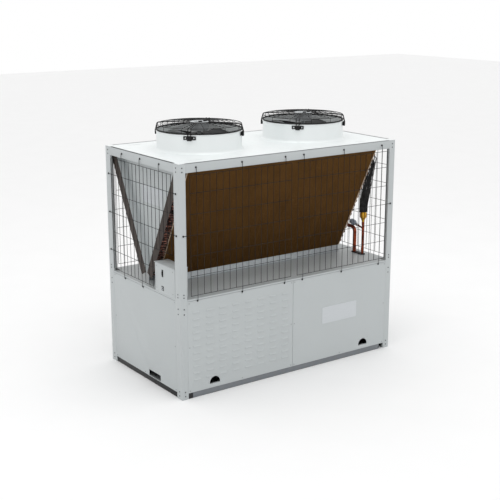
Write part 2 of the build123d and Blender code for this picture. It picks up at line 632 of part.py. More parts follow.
def clamp():
    """Bracket under one arm of the guard: a plate with two square holes and a middle lug."""
    face = RING_RADIUS + FIT
    half = CLAMP_WIDTH / 2
    foot = GUARD_FOOT_Z - CLAMP_HEIGHT / 2
    plate = block((0, CLAMP_PLATE), (-half, half), (foot, foot + CLAMP_HEIGHT))
    for side in (-1, 1):
        hole_y = side * CLAMP_HOLE_OFFSET
        plate -= block((-CLAMP_PLATE, 2 * CLAMP_PLATE),
                       (hole_y - CLAMP_HOLE / 2, hole_y + CLAMP_HOLE / 2),
                       (GUARD_FOOT_Z - CLAMP_HOLE / 2, GUARD_FOOT_Z + CLAMP_HOLE / 2))
    lug = block((0, GUARD_OVERHANG), (-ARM_GAP / 2 - FAN_WIRE, ARM_GAP / 2 + FAN_WIRE),
                (foot - CLAMP_LUG_DROP, GUARD_FOOT_Z + CLAMP_LUG_DROP))
    return Pos(face, 0, 0) * (plate + lug)


def fan_guard():
    """Guard over one fan: twin-wire arms, plain spokes, rings on a shallow cone and a rim ring."""
    hub_radius = (MOTOR_RADIUS + FIT) / cos(radians(180 / GUARD_SIDES)) + FAN_WIRE / 2
    rise = GUARD_DOME / (GUARD_KNEE_RADIUS - hub_radius)
    rings = [wire_ring(RING_RADIUS - RING_WALL / 2, RING_TOP_Z + FIT + FAN_WIRE / 2)]
    for index in range(GUARD_RINGS):
        radius = hub_radius + index * (GUARD_KNEE_RADIUS - hub_radius) / (GUARD_RINGS - 1)
        rings.append(wire_ring(radius, GUARD_KNEE_Z + (GUARD_KNEE_RADIUS - radius) * rise))
    hub_point = (hub_radius, GUARD_TOP_Z)
    knee_point = (GUARD_KNEE_RADIUS, GUARD_KNEE_Z)
    spoke = radial_wire((hub_point, knee_point, (RING_RADIUS, RING_TOP_Z + FIT + FAN_WIRE / 2)))
    arm_points = (hub_point, knee_point, (GUARD_FOOT_RADIUS, GUARD_FOOT_Z))
    arm = radial_wire(arm_points, ARM_GAP / 2) + radial_wire(arm_points, -ARM_GAP / 2)
    arm_step = GUARD_SPOKES // CLAMP_COUNT
    wires = [Rot(0, 0, ARM_TURN + index * 360 / GUARD_SPOKES) * (arm if index % arm_step == 0 else spoke)
             for index in range(GUARD_SPOKES)]
    clamps = [Rot(0, 0, ARM_TURN + index * 360 / CLAMP_COUNT) * clamp() for index in range(CLAMP_COUNT)]
    return rings[0] + rings[1:] + wires + clamps


def wire_panel(uprights, clip_uprights, run_ons):
    """Flat wire panel in the XZ plane, its back on y 0 and its wires towards -Y.

    The border runs through both layers. Between its sides the level wires lie behind and the
    uprights in front, as in welded mesh. clip_uprights run on past the border to their clips,
    and run_ons are (level, x) pairs where a level wire runs on to a clip at x.
    """
    levels = [CABINET_Z + rise for rise in WIRE_LEVELS]
    low, high = levels[0], levels[-1]
    left, right = min(uprights), max(uprights)
    middle = ((left + right) / 2, (low + high) / 2)
    tall, wide = high - low + WIRE, right - left + WIRE
    border = Pos(*middle) * (Rectangle(wide, tall) - Rectangle(wide - 2 * WIRE, tall - 2 * WIRE))
    clip_low, clip_high = CABINET_Z - CLIP_DROP, DECK_Z - CLIP_RISE
    front = [Pos(x, middle[1]) * Rectangle(WIRE, tall) for x in uprights[1:-1]]
    front += [Pos(x, (clip_low + clip_high) / 2) * Rectangle(WIRE, clip_high - clip_low)
              for x in clip_uprights]
    back = [Pos(middle[0], z) * Rectangle(wide, WIRE) for z in levels[1:-1]]
    for z, x in run_ons:
        edge = left if x < left else right
        back.append(Pos((edge + x) / 2, z) * Rectangle(abs(x - edge), WIRE))
    frame = extrude(Plane.XZ * border, GUARD_DEPTH)
    level_wires = extrude(Plane.XZ * (Sketch() + back), WIRE)
    upright_wires = Pos(0, -WIRE - FIT, 0) * extrude(Plane.XZ * (Sketch() + front), WIRE)
    return frame + level_wires + upright_wires


def spread(low, high, count):
    """Evenly spaced places from low to high."""
    return [low + index * (high - low) / (count - 1) for index in range(count)]


def front_guard(side):
    """Wire panel over half of the front opening."""
    outer = HALF_LENGTH - POST_FRONT_LEG - WIRE_MARGIN
    xs = [side * x for x in spread(WIRE_MARGIN, outer, WIRES_FRONT)]
    clips = [xs[1], xs[WIRES_FRONT // 2], xs[-2]]
    run_on = (CABINET_Z + WIRE_LEVELS[3], xs[-1] + side * CLIP_REACH)
    return Pos(0, -HALF_DEPTH - FIT, 0) * wire_panel(xs, clips, [run_on])


def end_guard(notched):
    """Wire panel over the left-hand end opening, cut away round the isolator box if notched."""
    half = HALF_DEPTH - POST_END_LEG - WIRE_MARGIN_END
    ys = spread(-half, half, WIRES_END)
    clips = [ys[3], ys[WIRES_END // 2], ys[-4]]
    reach = half + CLIP_REACH
    run_ons = [(CABINET_Z + WIRE_LEVELS[row], side * reach) for row in (1, 3, 5) for side in (-1, 1)]
    placed = Pos(-HALF_LENGTH - FIT, 0, 0) * Rot(0, 0, -90) * wire_panel(ys, clips, run_ons)
    if notched:
        box_back = -HALF_DEPTH + POST_END_LEG + WIRE + BOX_WIDTH
        edge = min(y for y in ys if y > box_back + WIRE) - WIRE / 2
        shelf = min(rise for rise in WIRE_LEVELS if rise > BOX_HEIGHT + WIRE) - WIRE / 2
        placed -= block((-HALF_LENGTH - 2 * GUARD_DEPTH, -HALF_LENGTH), (-HALF_DEPTH - WIRE, edge),
                        (0, CABINET_Z + shelf))
        corner = (-HALF_LENGTH - FIT - GUARD_DEPTH, -HALF_LENGTH - FIT)
        placed += block(corner, (edge, edge + WIRE),
                        (CABINET_Z + WIRE_LEVELS[0] - WIRE / 2, CABINET_Z + shelf + WIRE))
        placed += block(corner, (-half - WIRE / 2, edge + WIRE), (CABINET_Z + shelf, CABINET_Z + shelf + WIRE))
    return placed


def box_limits():
    """Front and rear edge of the isolator box, beside the front left post."""
    front = -HALF_DEPTH + POST_END_LEG + WIRE
    return front, front + BOX_WIDTH


def isolator_box():
    """Sheet box for the isolator: roof with a small lap, a handle slot and a gland hole."""
    front, back = box_limits()
    foot = CABINET_Z + FIT
    outer = -HALF_LENGTH
    shell = block((outer, outer + BOX_DEPTH), (front, back), (foot, foot + BOX_HEIGHT))
    shell -= block((outer + BOX_SHEET, outer + BOX_DEPTH - BOX_SHEET), (front + BOX_SHEET, back - BOX_SHEET),
                   (foot + BOX_SHEET, foot + BOX_HEIGHT - BOX_SHEET))
    shell += block((outer - BOX_ROOF_LAP, outer + BOX_DEPTH + BOX_ROOF_LAP), (front, back + BOX_ROOF_LAP),
                   (foot + BOX_HEIGHT, foot + BOX_HEIGHT + BOX_SHEET))
    return shell - isolator_cutters(2 * BOX_SHEET)


def isolator_cutters(depth):
    """Slot and square hole in the box's outer face, cut to a depth."""
    back = box_limits()[1]
    middle = back - SLOT_INSET
    foot = CABINET_Z + FIT
    x = (-HALF_LENGTH - depth, -HALF_LENGTH + depth)
    slot = block(x, (middle - SLOT_WIDTH / 2, middle + SLOT_WIDTH / 2),
                 (foot + SLOT_Z - SLOT_HEIGHT / 2, foot + SLOT_Z + SLOT_HEIGHT / 2))
    gland = block(x, (middle - GLAND_SIZE / 2, middle + GLAND_SIZE / 2),
                  (foot + GLAND_Z - GLAND_SIZE / 2, foot + GLAND_Z + GLAND_SIZE / 2))
    return slot + gland


def isolator_fittings():
    """Backing plates that close the handle slot and the gland hole from inside."""
    middle = box_limits()[1] - SLOT_INSET
    foot = CABINET_Z + FIT
    inner = -HALF_LENGTH + BOX_SHEET + FIT
    pieces = []
    for width, height, z in ((SLOT_WIDTH, SLOT_HEIGHT, SLOT_Z), (GLAND_SIZE, GLAND_SIZE, GLAND_Z)):
        half_width = width / 2 + BOX_SHEET
        half_height = height / 2 + BOX_SHEET
        pieces.append(block((inner, inner + 2 * BOX_SHEET), (middle - half_width, middle + half_width),
                            (foot + z - half_height, foot + z + half_height)))
    return pieces


node_count = 0


def save(name, shape):
    """Writes one node; a list becomes one compound of separate solids."""
    global node_count
    pieces = shape if isinstance(shape, list) else [shape]
    solids = [solid for piece in pieces for solid in piece.solids()]
    body = solids[0] if len(solids) == 1 else Compound(solids)
    export_step(body, f"parts/{name}.step")
    node_count += 1


def main():
    """Builds every node and writes it as STEP."""
    os.makedirs("parts", exist_ok=True)
    corner = post()
    save("corner_post_front_left", corner)
    save("corner_post_front_right", flip_x(corner))
    save("corner_post_back_left", flip_y(corner))
    save("corner_post_back_right", to_back(corner))
    bracket = foot_bracket()
    save("foot_brackets", [bracket, flip_x(bracket), flip_y(bracket), to_back(bracket)])
    save("base_rails", base_rails())
    save("floor_pan", floor_pan())
    plain = long_panel(1)
    save("front_panel_left", long_panel(-1, louvred=True))
    save("front_panel_right", plain)
    save("back_panel_left", to_back(plain))
    save("back_panel_right", to_back(long_panel(-1)))
    save("end_panel_left", end_panel(True))
    save("end_panel_right", to_back(end_panel(False)))
    save("cabinet_top", cabinet_top())
    save("coil_ridge", coil_ridge())
    pack = fin_pack()
    save("coil_front", pack)
    save("coil_back", flip_y(pack))
    sheets = tube_sheets()
    save("tube_sheets", sheets + [flip_y(sheet) for sheet in sheets])
    bends = bend_blocks()
    save("return_bends", bends + [flip_y(bend) for bend in bends])
    cover = bend_covers()
    save("bend_covers", [cover, flip_y(cover)])
    hangers = coil_hangers()
    save("coil_hangers", hangers + [flip_y(hanger) for hanger in hangers])
    save("v_panel_left", v_panel(BEND_REACH_LEFT))
    shift = Pos(COIL_LEFT + COIL_RIGHT, 0, 0)
    save("v_panel_right", shift * flip_x(v_panel(BEND_REACH_RIGHT)))
    for name, piece in (("suction_headers", header()), ("distributors", distributor()),
                        ("liquid_pipes", liquid_pipe()), ("suction_pipes", suction_pipe()),
                        ("filter_driers", drier()), ("pipe_grommets", grommet())):
        save(name, [piece, flip_y(piece)])
    tubes = feeders()
    save("feeder_bundles", tubes + [flip_y(tube) for tube in tubes])
    long_rail = top_rail_long()
    end_rail = top_rail_end()
    save("top_rails", [long_rail, to_back(long_rail), end_rail, to_back(end_rail)])
    guard = fan_guard()
    rotor = impeller()
    drive = motor()
    for name, side in (("left", -1), ("right", 1)):
        save(f"deck_{name}", deck(side))
        save(f"fan_guard_{name}", Pos(side * FAN_X, 0, 0) * guard)
        save(f"fan_motor_{name}", Pos(side * FAN_X, 0, 0) * drive)
        save(f"impeller_{name}", Pos(side * FAN_X, 0, HUB_LOW_Z) * rotor)
        front = front_guard(side)
        save(f"wire_guard_front_{name}", front)
        save(f"wire_guard_back_{name}", flip_y(front))
    save("wire_guard_end_left", end_guard(True))
    save("wire_guard_end_right", flip_x(end_guard(False)))
    save("isolator_box", isolator_box())
    save("isolator_fittings", isolator_fittings())
    print(node_count, "nodes")


main()
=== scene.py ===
"""The looks of an air-cooled heat pump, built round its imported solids.

Each class below is one sub-assembly. Sizes are in metres. +X runs along the unit, the louvred
front looks to -Y and +Z is up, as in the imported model.
"""

import json
import logging
import math
from dataclasses import dataclass, field
from enum import Enum
from typing import Iterable, Sequence

import bmesh
import bpy
from mathutils import Matrix, Vector


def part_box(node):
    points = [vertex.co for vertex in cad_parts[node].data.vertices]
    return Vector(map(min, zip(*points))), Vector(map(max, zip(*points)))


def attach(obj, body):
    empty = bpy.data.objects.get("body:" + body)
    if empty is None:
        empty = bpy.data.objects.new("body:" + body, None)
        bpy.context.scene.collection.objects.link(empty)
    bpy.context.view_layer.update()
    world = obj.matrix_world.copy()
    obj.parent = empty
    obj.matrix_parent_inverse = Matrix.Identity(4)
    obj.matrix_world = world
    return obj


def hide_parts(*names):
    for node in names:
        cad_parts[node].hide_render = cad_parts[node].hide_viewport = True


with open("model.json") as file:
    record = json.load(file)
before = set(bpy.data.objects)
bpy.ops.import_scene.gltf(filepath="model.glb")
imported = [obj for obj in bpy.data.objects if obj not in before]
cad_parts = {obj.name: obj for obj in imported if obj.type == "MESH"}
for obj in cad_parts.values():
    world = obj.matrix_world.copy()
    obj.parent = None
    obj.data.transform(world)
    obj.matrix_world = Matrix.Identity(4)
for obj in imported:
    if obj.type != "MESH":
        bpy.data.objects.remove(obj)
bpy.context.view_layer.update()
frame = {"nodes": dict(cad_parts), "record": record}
log = logging.getLogger("heat_pump")

Colour = tuple[float, float, float, float]
Point = tuple[float, float, float]
MM = 0.001
UP = Vector((0, 0, 1))
FRONT = Vector((0, -1, 0))
LEFT = Vector((-1, 0, 0))


class Body(Enum):
    """The bodies that pieces ride on."""

    CABINET = "cabinet"
    FAN_LEFT = "fan_left"
    FAN_RIGHT = "fan_right"


class Side(Enum):
    """One end of the unit, as its sign along X."""

    LEFT = -1
    RIGHT = 1

    @property
    def word(self) -> str:
        """Return the side's name as the nodes write it."""
        return self.name.lower()


class Face(Enum):
    """One long face of the unit, as its sign along Y."""

    FRONT = -1
    BACK = 1

    @property
    def word(self) -> str:
        """Return the face's name as the nodes write it."""
        return self.name.lower()


def screen_colour(red: int, green: int, blue: int) -> Colour:
    """Return a linear colour for one that is given as it looks on a screen.

    Args:
        red: Red, from 0 to 255.
        green: Green, from 0 to 255.
        blue: Blue, from 0 to 255.

    Returns:
        The colour with an alpha of 1.
    """
    red_part, green_part, blue_part = ((part / 255) ** 2.2 for part in (red, green, blue))
    return red_part, green_part, blue_part, 1.0


def shade(colour: Colour, factor: float) -> Colour:
    """Return a colour made lighter or darker by a factor."""
    red, green, blue, alpha = colour
    return red * factor, green * factor, blue * factor, alpha


class Value:
    """A socket that can be calculated with: each operator adds its own Math node."""

    def __init__(self, graph: "Graph", socket: bpy.types.NodeSocket) -> None:
        """Wrap a socket of a graph."""
        self.graph = graph
        self.socket = socket

    def _math(self, operation: str, first: object, second: object) -> "Value":
        """Add a Math node on two terms and return its result."""
        node = self.graph.add("ShaderNodeMath", {"operation": operation}, {0: first, 1: second})
        return Value(self.graph, node.outputs[0])

    def __add__(self, other: object) -> "Value":
        """Return self + other."""
        return self._math("ADD", self, other)

    def __radd__(self, other: object) -> "Value":
        """Return other + self."""
        return self._math("ADD", other, self)

    def __sub__(self, other: object) -> "Value":
        """Return self - other."""
        return self._math("SUBTRACT", self, other)

    def __rsub__(self, other: object) -> "Value":
        """Return other - self."""
        return self._math("SUBTRACT", other, self)

    def __mul__(self, other: object) -> "Value":
        """Return self * other."""
        return self._math("MULTIPLY", self, other)

    def __rmul__(self, other: object) -> "Value":
        """Return other * self."""
        return self._math("MULTIPLY", other, self)

    def __truediv__(self, other: object) -> "Value":
        """Return self / other."""
        return self._math("DIVIDE", self, other)


class Graph:
    """A node tree that is written as expressions and single calls."""

    def __init__(self, tree: bpy.types.NodeTree) -> None:
        """Hold the tree."""
        self.tree = tree

    def add(self, kind: str, settings: dict | None = None, inputs: dict | None = None) -> bpy.types.Node:
        """Add a node.

        Args:
            kind: The node's type.
            settings: The node's own properties, and "stops" for a ramp's stops. They are set first.
            inputs: Values or links of its sockets, by name or number.

        Returns:
            The new node.
        """
        node = self.tree.nodes.new(kind)
        for key, setting in (settings or {}).items():
            if key == "stops":
                self._set_stops(node.color_ramp, setting)
            else:
                setattr(node, key, setting)
        for key, given in (inputs or {}).items():
            self.join(given, node.inputs[key])
        return node

    def value(self, kind: str, settings: dict | None = None, inputs: dict | None = None,
              output: int | str = 0) -> Value:
        """Add a node as add does, and return one of its outputs."""
        return Value(self, self.add(kind, settings, inputs).outputs[output])

    def join(self, given: object, socket: bpy.types.NodeSocket) -> None:
        """Link a value, several values or a plain number to a socket."""
        if isinstance(given, list):
            for one in given:
                self.join(one, socket)
        elif isinstance(given, Value):
            self.tree.links.new(given.socket, socket)
        elif isinstance(given, bpy.types.NodeSocket):
            self.tree.links.new(given, socket)
        else:
            socket.default_value = given

    @staticmethod
    def _set_stops(ramp: bpy.types.ColorRamp, stops: Sequence[tuple[float, Colour]]) -> None:
        """Give a colour ramp its stops."""
        while len(ramp.elements) < len(stops):
            ramp.elements.new(1.0)
        for element, (position, colour) in zip(ramp.elements, stops):
            element.position = position
            element.color = colour


class ShaderGraph(Graph):
    """The node tree of one material, with its shader and the object's own coordinates."""

    COLOUR_FACTOR = 0
    COLOUR_A = 6
    COLOUR_B = 7
    COLOUR_RESULT = 2

    def __init__(self, name: str) -> None:
        """Make the material with a bare shader."""
        self.material = bpy.data.materials.new(name)
        self.material.use_nodes = True
        self.material.node_tree.nodes.clear()
        super().__init__(self.material.node_tree)
        self.shader = self.add("ShaderNodeBsdfPrincipled")
        self.add("ShaderNodeOutputMaterial", inputs={"Surface": self.shader.outputs["BSDF"]})
        self.place = self.value("ShaderNodeTexCoord", output="Object")

    def surface(self, **sockets: object) -> bpy.types.Material:
        """Set the shader's sockets, where a double word such as base_color is Base Color."""
        for word, given in sockets.items():
            name = {"ior": "IOR", "specular": "Specular IOR Level"}.get(word, word.replace("_", " ").title())
            self.join(given, self.shader.inputs[name])
        return self.material

    def stretched(self, scale: Point) -> Value:
        """Return the object's coordinates scaled along each axis."""
        return self.value("ShaderNodeMapping", None, {"Vector": self.place, "Scale": scale})

    def noise(self, scale: float, detail: float = 2.0, place: Value | None = None) -> Value:
        """Return a noise from 0 to 1 that has a scale in waves to the metre."""
        return self.value("ShaderNodeTexNoise", None,
                          {"Vector": place or self.place, "Scale": scale, "Detail": detail})

    def mix(self, factor: object, first: object, second: object) -> Value:
        """Return a colour between two colours."""
        inputs = {self.COLOUR_FACTOR: factor, self.COLOUR_A: first, self.COLOUR_B: second}
        return self.value("ShaderNodeMix", {"data_type": "RGBA"}, inputs, self.COLOUR_RESULT)

    def ramp(self, factor: Value, stops: Sequence[tuple[float, Colour]]) -> Value:
        """Return a colour read from a ramp with stops."""
        return self.value("ShaderNodeValToRGB", {"stops": stops}, {"Fac": factor})

    def spread(self, given: Value, low: float, high: float) -> Value:
        """Return 0 below low and 1 above high, with a straight rise between."""
        inputs = {"Value": given, "From Min": low, "From Max": high}
        return self.value("ShaderNodeMapRange", None, inputs)

    def above(self, first: object, second: object) -> Value:
        """Return 1 where the first value is the larger one, and 0 elsewhere."""
        return self.value("ShaderNodeMath", {"operation": "GREATER_THAN"}, {0: first, 1: second})

    def height(self) -> Value:
        """Return the height over the floor in metres."""
        return self.value("ShaderNodeSeparateXYZ", None, {"Vector": self.place}, "Z")

    def bump(self, height: Value, depth: float, strength: float = 1.0) -> Value:
        """Return a normal for a relief of a depth in metres."""
        return self.value("ShaderNodeBump", None,
                          {"Height": height, "Distance": depth, "Strength": strength})


@dataclass(frozen=True)
class Finish:
    """A surface finish: its name, the record's slot that it belongs to and its colour."""

    name: str
    slot: str
    colour: Colour

    def material(self) -> bpy.types.Material:
        """Return the finish's material, which is made once."""
        return bpy.data.materials.get(self.name) or self.build(ShaderGraph(self.name))

    def build(self, graph: ShaderGraph) -> bpy.types.Material:
        """Fill the graph and return its material."""
        raise NotImplementedError


@dataclass(frozen=True)
class PowderCoat(Finish):
    """Baked powder paint: a faint cloudiness and the fine relief of orange peel."""

    gloss_low: float = 0.36
    cloud: float = 0.05
    peel_scale: float = 330.0
    peel_depth: float = 0.00012

    def build(self, graph: ShaderGraph) -> bpy.types.Material:
        """Fill the graph and return its material."""
        cloud = graph.noise(1.6, 3.0)
        peel = graph.noise(self.peel_scale, 1.0)
        dust = graph.noise(36.0, 5.0)
        tone = graph.mix(cloud, shade(self.colour, 1 - self.cloud), shade(self.colour, 1 + self.cloud))
        tone = graph.mix(graph.spread(dust, 0.62, 0.85) * 0.25, tone, shade(self.colour, 0.86))
        return graph.surface(base_color=tone, roughness=self.gloss_low + 0.16 * dust,
                             normal=graph.bump(peel, self.peel_depth, 0.5), ior=1.5)


@dataclass(frozen=True)
class RailPaint(PowderCoat):
    """Powder paint on the base's front and back rails, with near-black painted shade on its ends and inner members,
    which lie in shade under the panels.
    """

    end_x: float = 1.02
    side_y: float = 0.56
    # Near-black painted shade for the base's ends and inner members.
    black: Colour = (0.006, 0.006, 0.007, 1.0)

    def build(self, graph: ShaderGraph) -> bpy.types.Material:
        """Fill the graph and return its material."""
        along = graph.value("ShaderNodeSeparateXYZ", None, {"Vector": graph.place}, "X")
        across = graph.value("ShaderNodeSeparateXYZ", None, {"Vector": graph.place}, "Y")
        # Painted shade: the ends and the inner members take the near-black colour.
        end = graph.above(along * along, self.end_x ** 2)
        side = graph.above(self.side_y ** 2, across * across)
        scuff = graph.noise(24.0, 5.0)
        tone = graph.mix(scuff, shade(self.colour, 0.9), shade(self.colour, 1.08))
        tone = graph.mix(end + side - end * side, tone, self.black)
        return graph.surface(base_color=tone, roughness=self.gloss_low + 0.2 * scuff)


@dataclass(frozen=True)
class Zinc(Finish):
    """Galvanised sheet with the flat flakes of its spangle."""

    flakes: float = 70.0

    def build(self, graph: ShaderGraph) -> bpy.types.Material:
        """Fill the graph and return its material."""
        flake = graph.value("ShaderNodeTexVoronoi", {"feature": "F1"},
                            {"Vector": graph.place, "Scale": self.flakes}, "Color")
        tint = graph.value("ShaderNodeSeparateColor", None, {"Color": flake})
        streak = graph.noise(3.0, 4.0, graph.stretched((9.0, 9.0, 1.5)))
        tone = graph.mix(tint * 0.6 + streak * 0.4, shade(self.colour, 0.78), shade(self.colour, 1.16))
        return graph.surface(base_color=tone, roughness=0.34 + 0.2 * tint, metallic=0.75)


@dataclass(frozen=True)
class FinCoat(Finish):
    """Brown epoxy on the coils' fins, darkened towards the foot as painted shade, and streaked along the fins."""

    foot_z: float = 0.9
    top_z: float = 1.86
    foot_share: float = 0.62

    def build(self, graph: ShaderGraph) -> bpy.types.Material:
        """Fill the graph and return its material."""
        rise = graph.spread(graph.height(), self.foot_z, self.top_z)
        streak = graph.noise(1.0, 4.0, graph.stretched((55.0, 1.0, 1.3)))
        blotch = graph.noise(5.0, 4.0)
        # Painted shade: the fins darken from the top down to the coil's foot.
        tone = graph.mix(rise, shade(self.colour, self.foot_share), self.colour)
        tone = graph.mix(streak * 0.55, tone, shade(self.colour, 1.35))
        tone = graph.mix(graph.spread(blotch, 0.45, 0.75) * 0.3, tone, shade(self.colour, 0.45))
        return graph.surface(base_color=tone, roughness=0.55 + 0.2 * blotch, specular=0.25)


@dataclass(frozen=True)
class TarnishedMetal(Finish):
    """Bare metal with darker tarnish in patches."""

    tarnish: Colour = (0.1, 0.05, 0.03, 1.0)
    patch_scale: float = 22.0
    patch_low: float = 0.42
    patch_high: float = 0.72
    roughness: float = 0.26

    def build(self, graph: ShaderGraph) -> bpy.types.Material:
        """Fill the graph and return its material."""
        patch = graph.spread(graph.noise(self.patch_scale, 5.0), self.patch_low, self.patch_high)
        grain = graph.noise(260.0, 2.0)
        tone = graph.mix(patch, self.colour, self.tarnish)
        return graph.surface(base_color=tone, roughness=self.roughness + 0.3 * patch + 0.1 * grain,
                             metallic=1.0 - 0.45 * patch, normal=graph.bump(grain, 0.0001, 0.4))


@dataclass(frozen=True)
class Moulding(Finish):
    """Matt plastic, rubber or dipped wire: a fine grain and a little dust."""

    roughness: float = 0.48
    grain_scale: float = 520.0
    grain_depth: float = 0.00015
    dust: float = 0.12
    specular: float = 0.3

    def build(self, graph: ShaderGraph) -> bpy.types.Material:
        """Fill the graph and return its material."""
        grain = graph.noise(self.grain_scale, 2.0)
        film = graph.spread(graph.noise(14.0, 5.0), 0.4, 0.8) * self.dust
        tone = graph.mix(film, self.colour, (0.12, 0.12, 0.115, 1.0))
        return graph.surface(base_color=tone, roughness=self.roughness + 0.15 * grain, specular=self.specular,
                             normal=graph.bump(grain, self.grain_depth, 0.6))


@dataclass(frozen=True)
class BrushedSheet(Finish):
    """Aluminium sheet brushed along X, with a satin lacquer."""

    def build(self, graph: ShaderGraph) -> bpy.types.Material:
        """Fill the graph and return its material."""
        lines = graph.noise(1.0, 6.0, graph.stretched((9.0, 900.0, 900.0)))
        tone = graph.mix(lines, shade(self.colour, 0.88), shade(self.colour, 1.08))
        return graph.surface(base_color=tone, roughness=0.3 + 0.18 * lines, metallic=0.85,
                             normal=graph.bump(lines, 0.00008, 0.3))


@dataclass(frozen=True)
class StudioFloor(Finish):
    """Pale, matt studio floor with a barely seen mottle."""

    def build(self, graph: ShaderGraph) -> bpy.types.Material:
        """Fill the graph and return its material."""
        tone = graph.mix(graph.noise(2.0, 4.0), self.colour, shade(self.colour, 0.97))
        return graph.surface(base_color=tone, roughness=0.85)


PANEL_PAINT = PowderCoat("panel_paint", "cabinet_paint", screen_colour(178, 183, 184))
DECK_PAINT = PowderCoat("deck_paint", "deck_paint", screen_colour(204, 209, 209))
RAIL_PAINT = RailPaint("base_paint", "base_grey", screen_colour(112, 116, 120))
GALVANISED = Zinc("galvanised_sheet", "galvanised", screen_colour(176, 181, 184))
TUBE_SHEET = Zinc("tube_sheet_zinc", "galvanised", screen_colour(206, 186, 164), 40.0)
FINS = FinCoat("fin_coating", "coil_fins", screen_colour(122, 88, 46))
# The block inside each fin pack: dark brown as painted shade between the fins.
FIN_DEPTH_SHADE = Moulding("fin_depths", "coil_fins", screen_colour(40, 28, 14))
BENDS = TarnishedMetal("tube_bends", "coil_bends", screen_colour(168, 120, 106), screen_colour(46, 30, 26),
                       30.0, 0.36, 0.6, 0.42)
BEND_COVER = PowderCoat("bend_cover_paint", "coil_bends", screen_colour(54, 44, 38), 0.5)
COPPER = TarnishedMetal("copper_tube", "copper", screen_colour(160, 78, 52), screen_colour(84, 34, 24),
                        18.0, 0.36, 0.7, 0.3)
BRASS = TarnishedMetal("turned_brass", "brass", screen_colour(206, 156, 58), screen_colour(140, 92, 28),
                       30.0, 0.45, 0.8, 0.24)
FEEDER_SLEEVE = Moulding("feeder_sleeve", "sleeve_black", screen_colour(22, 20, 20), 0.24, 160.0, 0.0005, 0.3)
GUARD_WIRE = Moulding("dipped_wire", "black_wire", screen_colour(13, 13, 15), 0.5, dust=0.05)
FAN_PLASTIC = Moulding("fan_moulding", "black_plastic", screen_colour(20, 20, 22), 0.5, dust=0.06)
RING_LINING = Moulding("ring_lining", "deck_paint", screen_colour(26, 27, 28), 0.6)
MOTOR_PAINT = PowderCoat("motor_paint", "motor_grey", screen_colour(168, 172, 174), 0.42)
CANISTER_PAINT = PowderCoat("canister_paint", "motor_grey", screen_colour(132, 140, 152), 0.34)
PALE_NUT = Zinc("plated_nut", "galvanised", screen_colour(200, 204, 208))
SCREW_DARK = Moulding("dark_screw", "black_plastic", screen_colour(58, 60, 62), 0.35)
SCREW_PALE = Zinc("pale_screw", "galvanised", screen_colour(140, 144, 146))
PLATE_METAL = BrushedSheet("blank_plate", "galvanised", screen_colour(198, 202, 205))
FLOOR = StudioFloor("studio_floor", "", screen_colour(246, 246, 246))


class GeometryGraph(Graph):
    """A Geometry Nodes tree with named inputs, run on a mesh to give a plain mesh."""

    def __init__(self, name: str, inputs: dict[str, str]) -> None:
        """Make the tree with its named inputs and a Finish for its surface."""
        super().__init__(bpy.data.node_groups.new(name, "GeometryNodeTree"))
        self.tree.interface.new_socket("Geometry", in_out="INPUT", socket_type="NodeSocketGeometry")
        for label, kind in {**inputs, "Finish": "Material"}.items():
            self.tree.interface.new_socket(label, in_out="INPUT", socket_type="NodeSocket" + kind)
        self.tree.interface.new_socket("Geometry", in_out="OUTPUT", socket_type="NodeSocketGeometry")
        self.given = self.add("NodeGroupInput")

    def input(self, label: str) -> Value:
        """Return a named input of the tree."""
        return Value(self, self.given.outputs[label])

    def vector(self, x: object = 0.0, y: object = 0.0, z: object = 0.0) -> Value:
        """Return a vector made of three numbers or values."""
        return self.value("ShaderNodeCombineXYZ", None, {"X": x, "Y": y, "Z": z})

    def repeated(self, shape: Value, points: Value, **sockets: object) -> Value:
        """Return a shape set on each point, as instances."""
        inputs = {"Points": points, "Instance": shape}
        inputs.update({word.title(): given for word, given in sockets.items()})
        return self.value("GeometryNodeInstanceOnPoints", None, inputs)

    def tube(self, curve: Value, radius: object, sides: object) -> Value:
        """Return a round, capped tube along a curve."""
        ring = self.value("GeometryNodeCurvePrimitiveCircle", None, {"Resolution": sides, "Radius": radius})
        return self.value("GeometryNodeCurveToMesh", None,
                          {"Curve": curve, "Profile Curve": ring, "Fill Caps": True})

    def end(self, shape: Value, smooth: bool = True) -> None:
        """Close the tree: realize the shape and give it the Finish."""
        if smooth:
            shape = self.value("GeometryNodeSetShadeSmooth", None, {"Geometry": shape})
        real = self.value("GeometryNodeRealizeInstances", None, {"Geometry": shape})
        done = self.value("GeometryNodeSetMaterial", None, {"Geometry": real, "Material": self.input("Finish")})
        self.add("NodeGroupOutput", None, {"Geometry": done})

    def run(self, mesh: bpy.types.Mesh, finish: Finish, **values: object) -> bpy.types.Mesh:
        """Run the tree on a mesh.

        Args:
            mesh: What the tree's Geometry input gets. It is used up.
            finish: The surface that the result gets.
            **values: The named inputs, with underscores for spaces.

        Returns:
            A plain mesh with the result.
        """
        host = bpy.data.objects.new(self.tree.name, mesh)
        bpy.context.scene.collection.objects.link(host)
        modifier = host.modifiers.new(self.tree.name, "NODES")
        modifier.node_group = self.tree
        given = {word.replace("_", " ").capitalize(): value for word, value in values.items()}
        given["Finish"] = finish.material()
        for item in self.tree.interface.items_tree:
            if item.in_out == "INPUT" and item.name in given:
                modifier[item.identifier] = given[item.name]
        shown = host.evaluated_get(bpy.context.evaluated_depsgraph_get())
        result = bpy.data.meshes.new_from_object(shown)
        bpy.data.objects.remove(host)
        bpy.data.meshes.remove(mesh)
        return result


class WireTree(GeometryGraph):
    """Round wire or tube along the polylines of a mesh, with its corners bent to a radius."""

    def __init__(self) -> None:
        """Build the tree."""
        super().__init__("round_wire", {"Wire radius": "Float", "Sides": "Int", "Bend radius": "Float",
                                        "Bend steps": "Int"})
        curve = self.value("GeometryNodeMeshToCurve", None, {"Mesh": self.input("Geometry")})
        bent = self.value("GeometryNodeFilletCurve", {"mode": "POLY"},
                          {"Curve": curve, "Radius": self.input("Bend radius"), "Limit Radius": True,
                           "Count": self.input("Bend steps")})
        self.end(self.tube(bent, self.input("Wire radius"), self.input("Sides")))


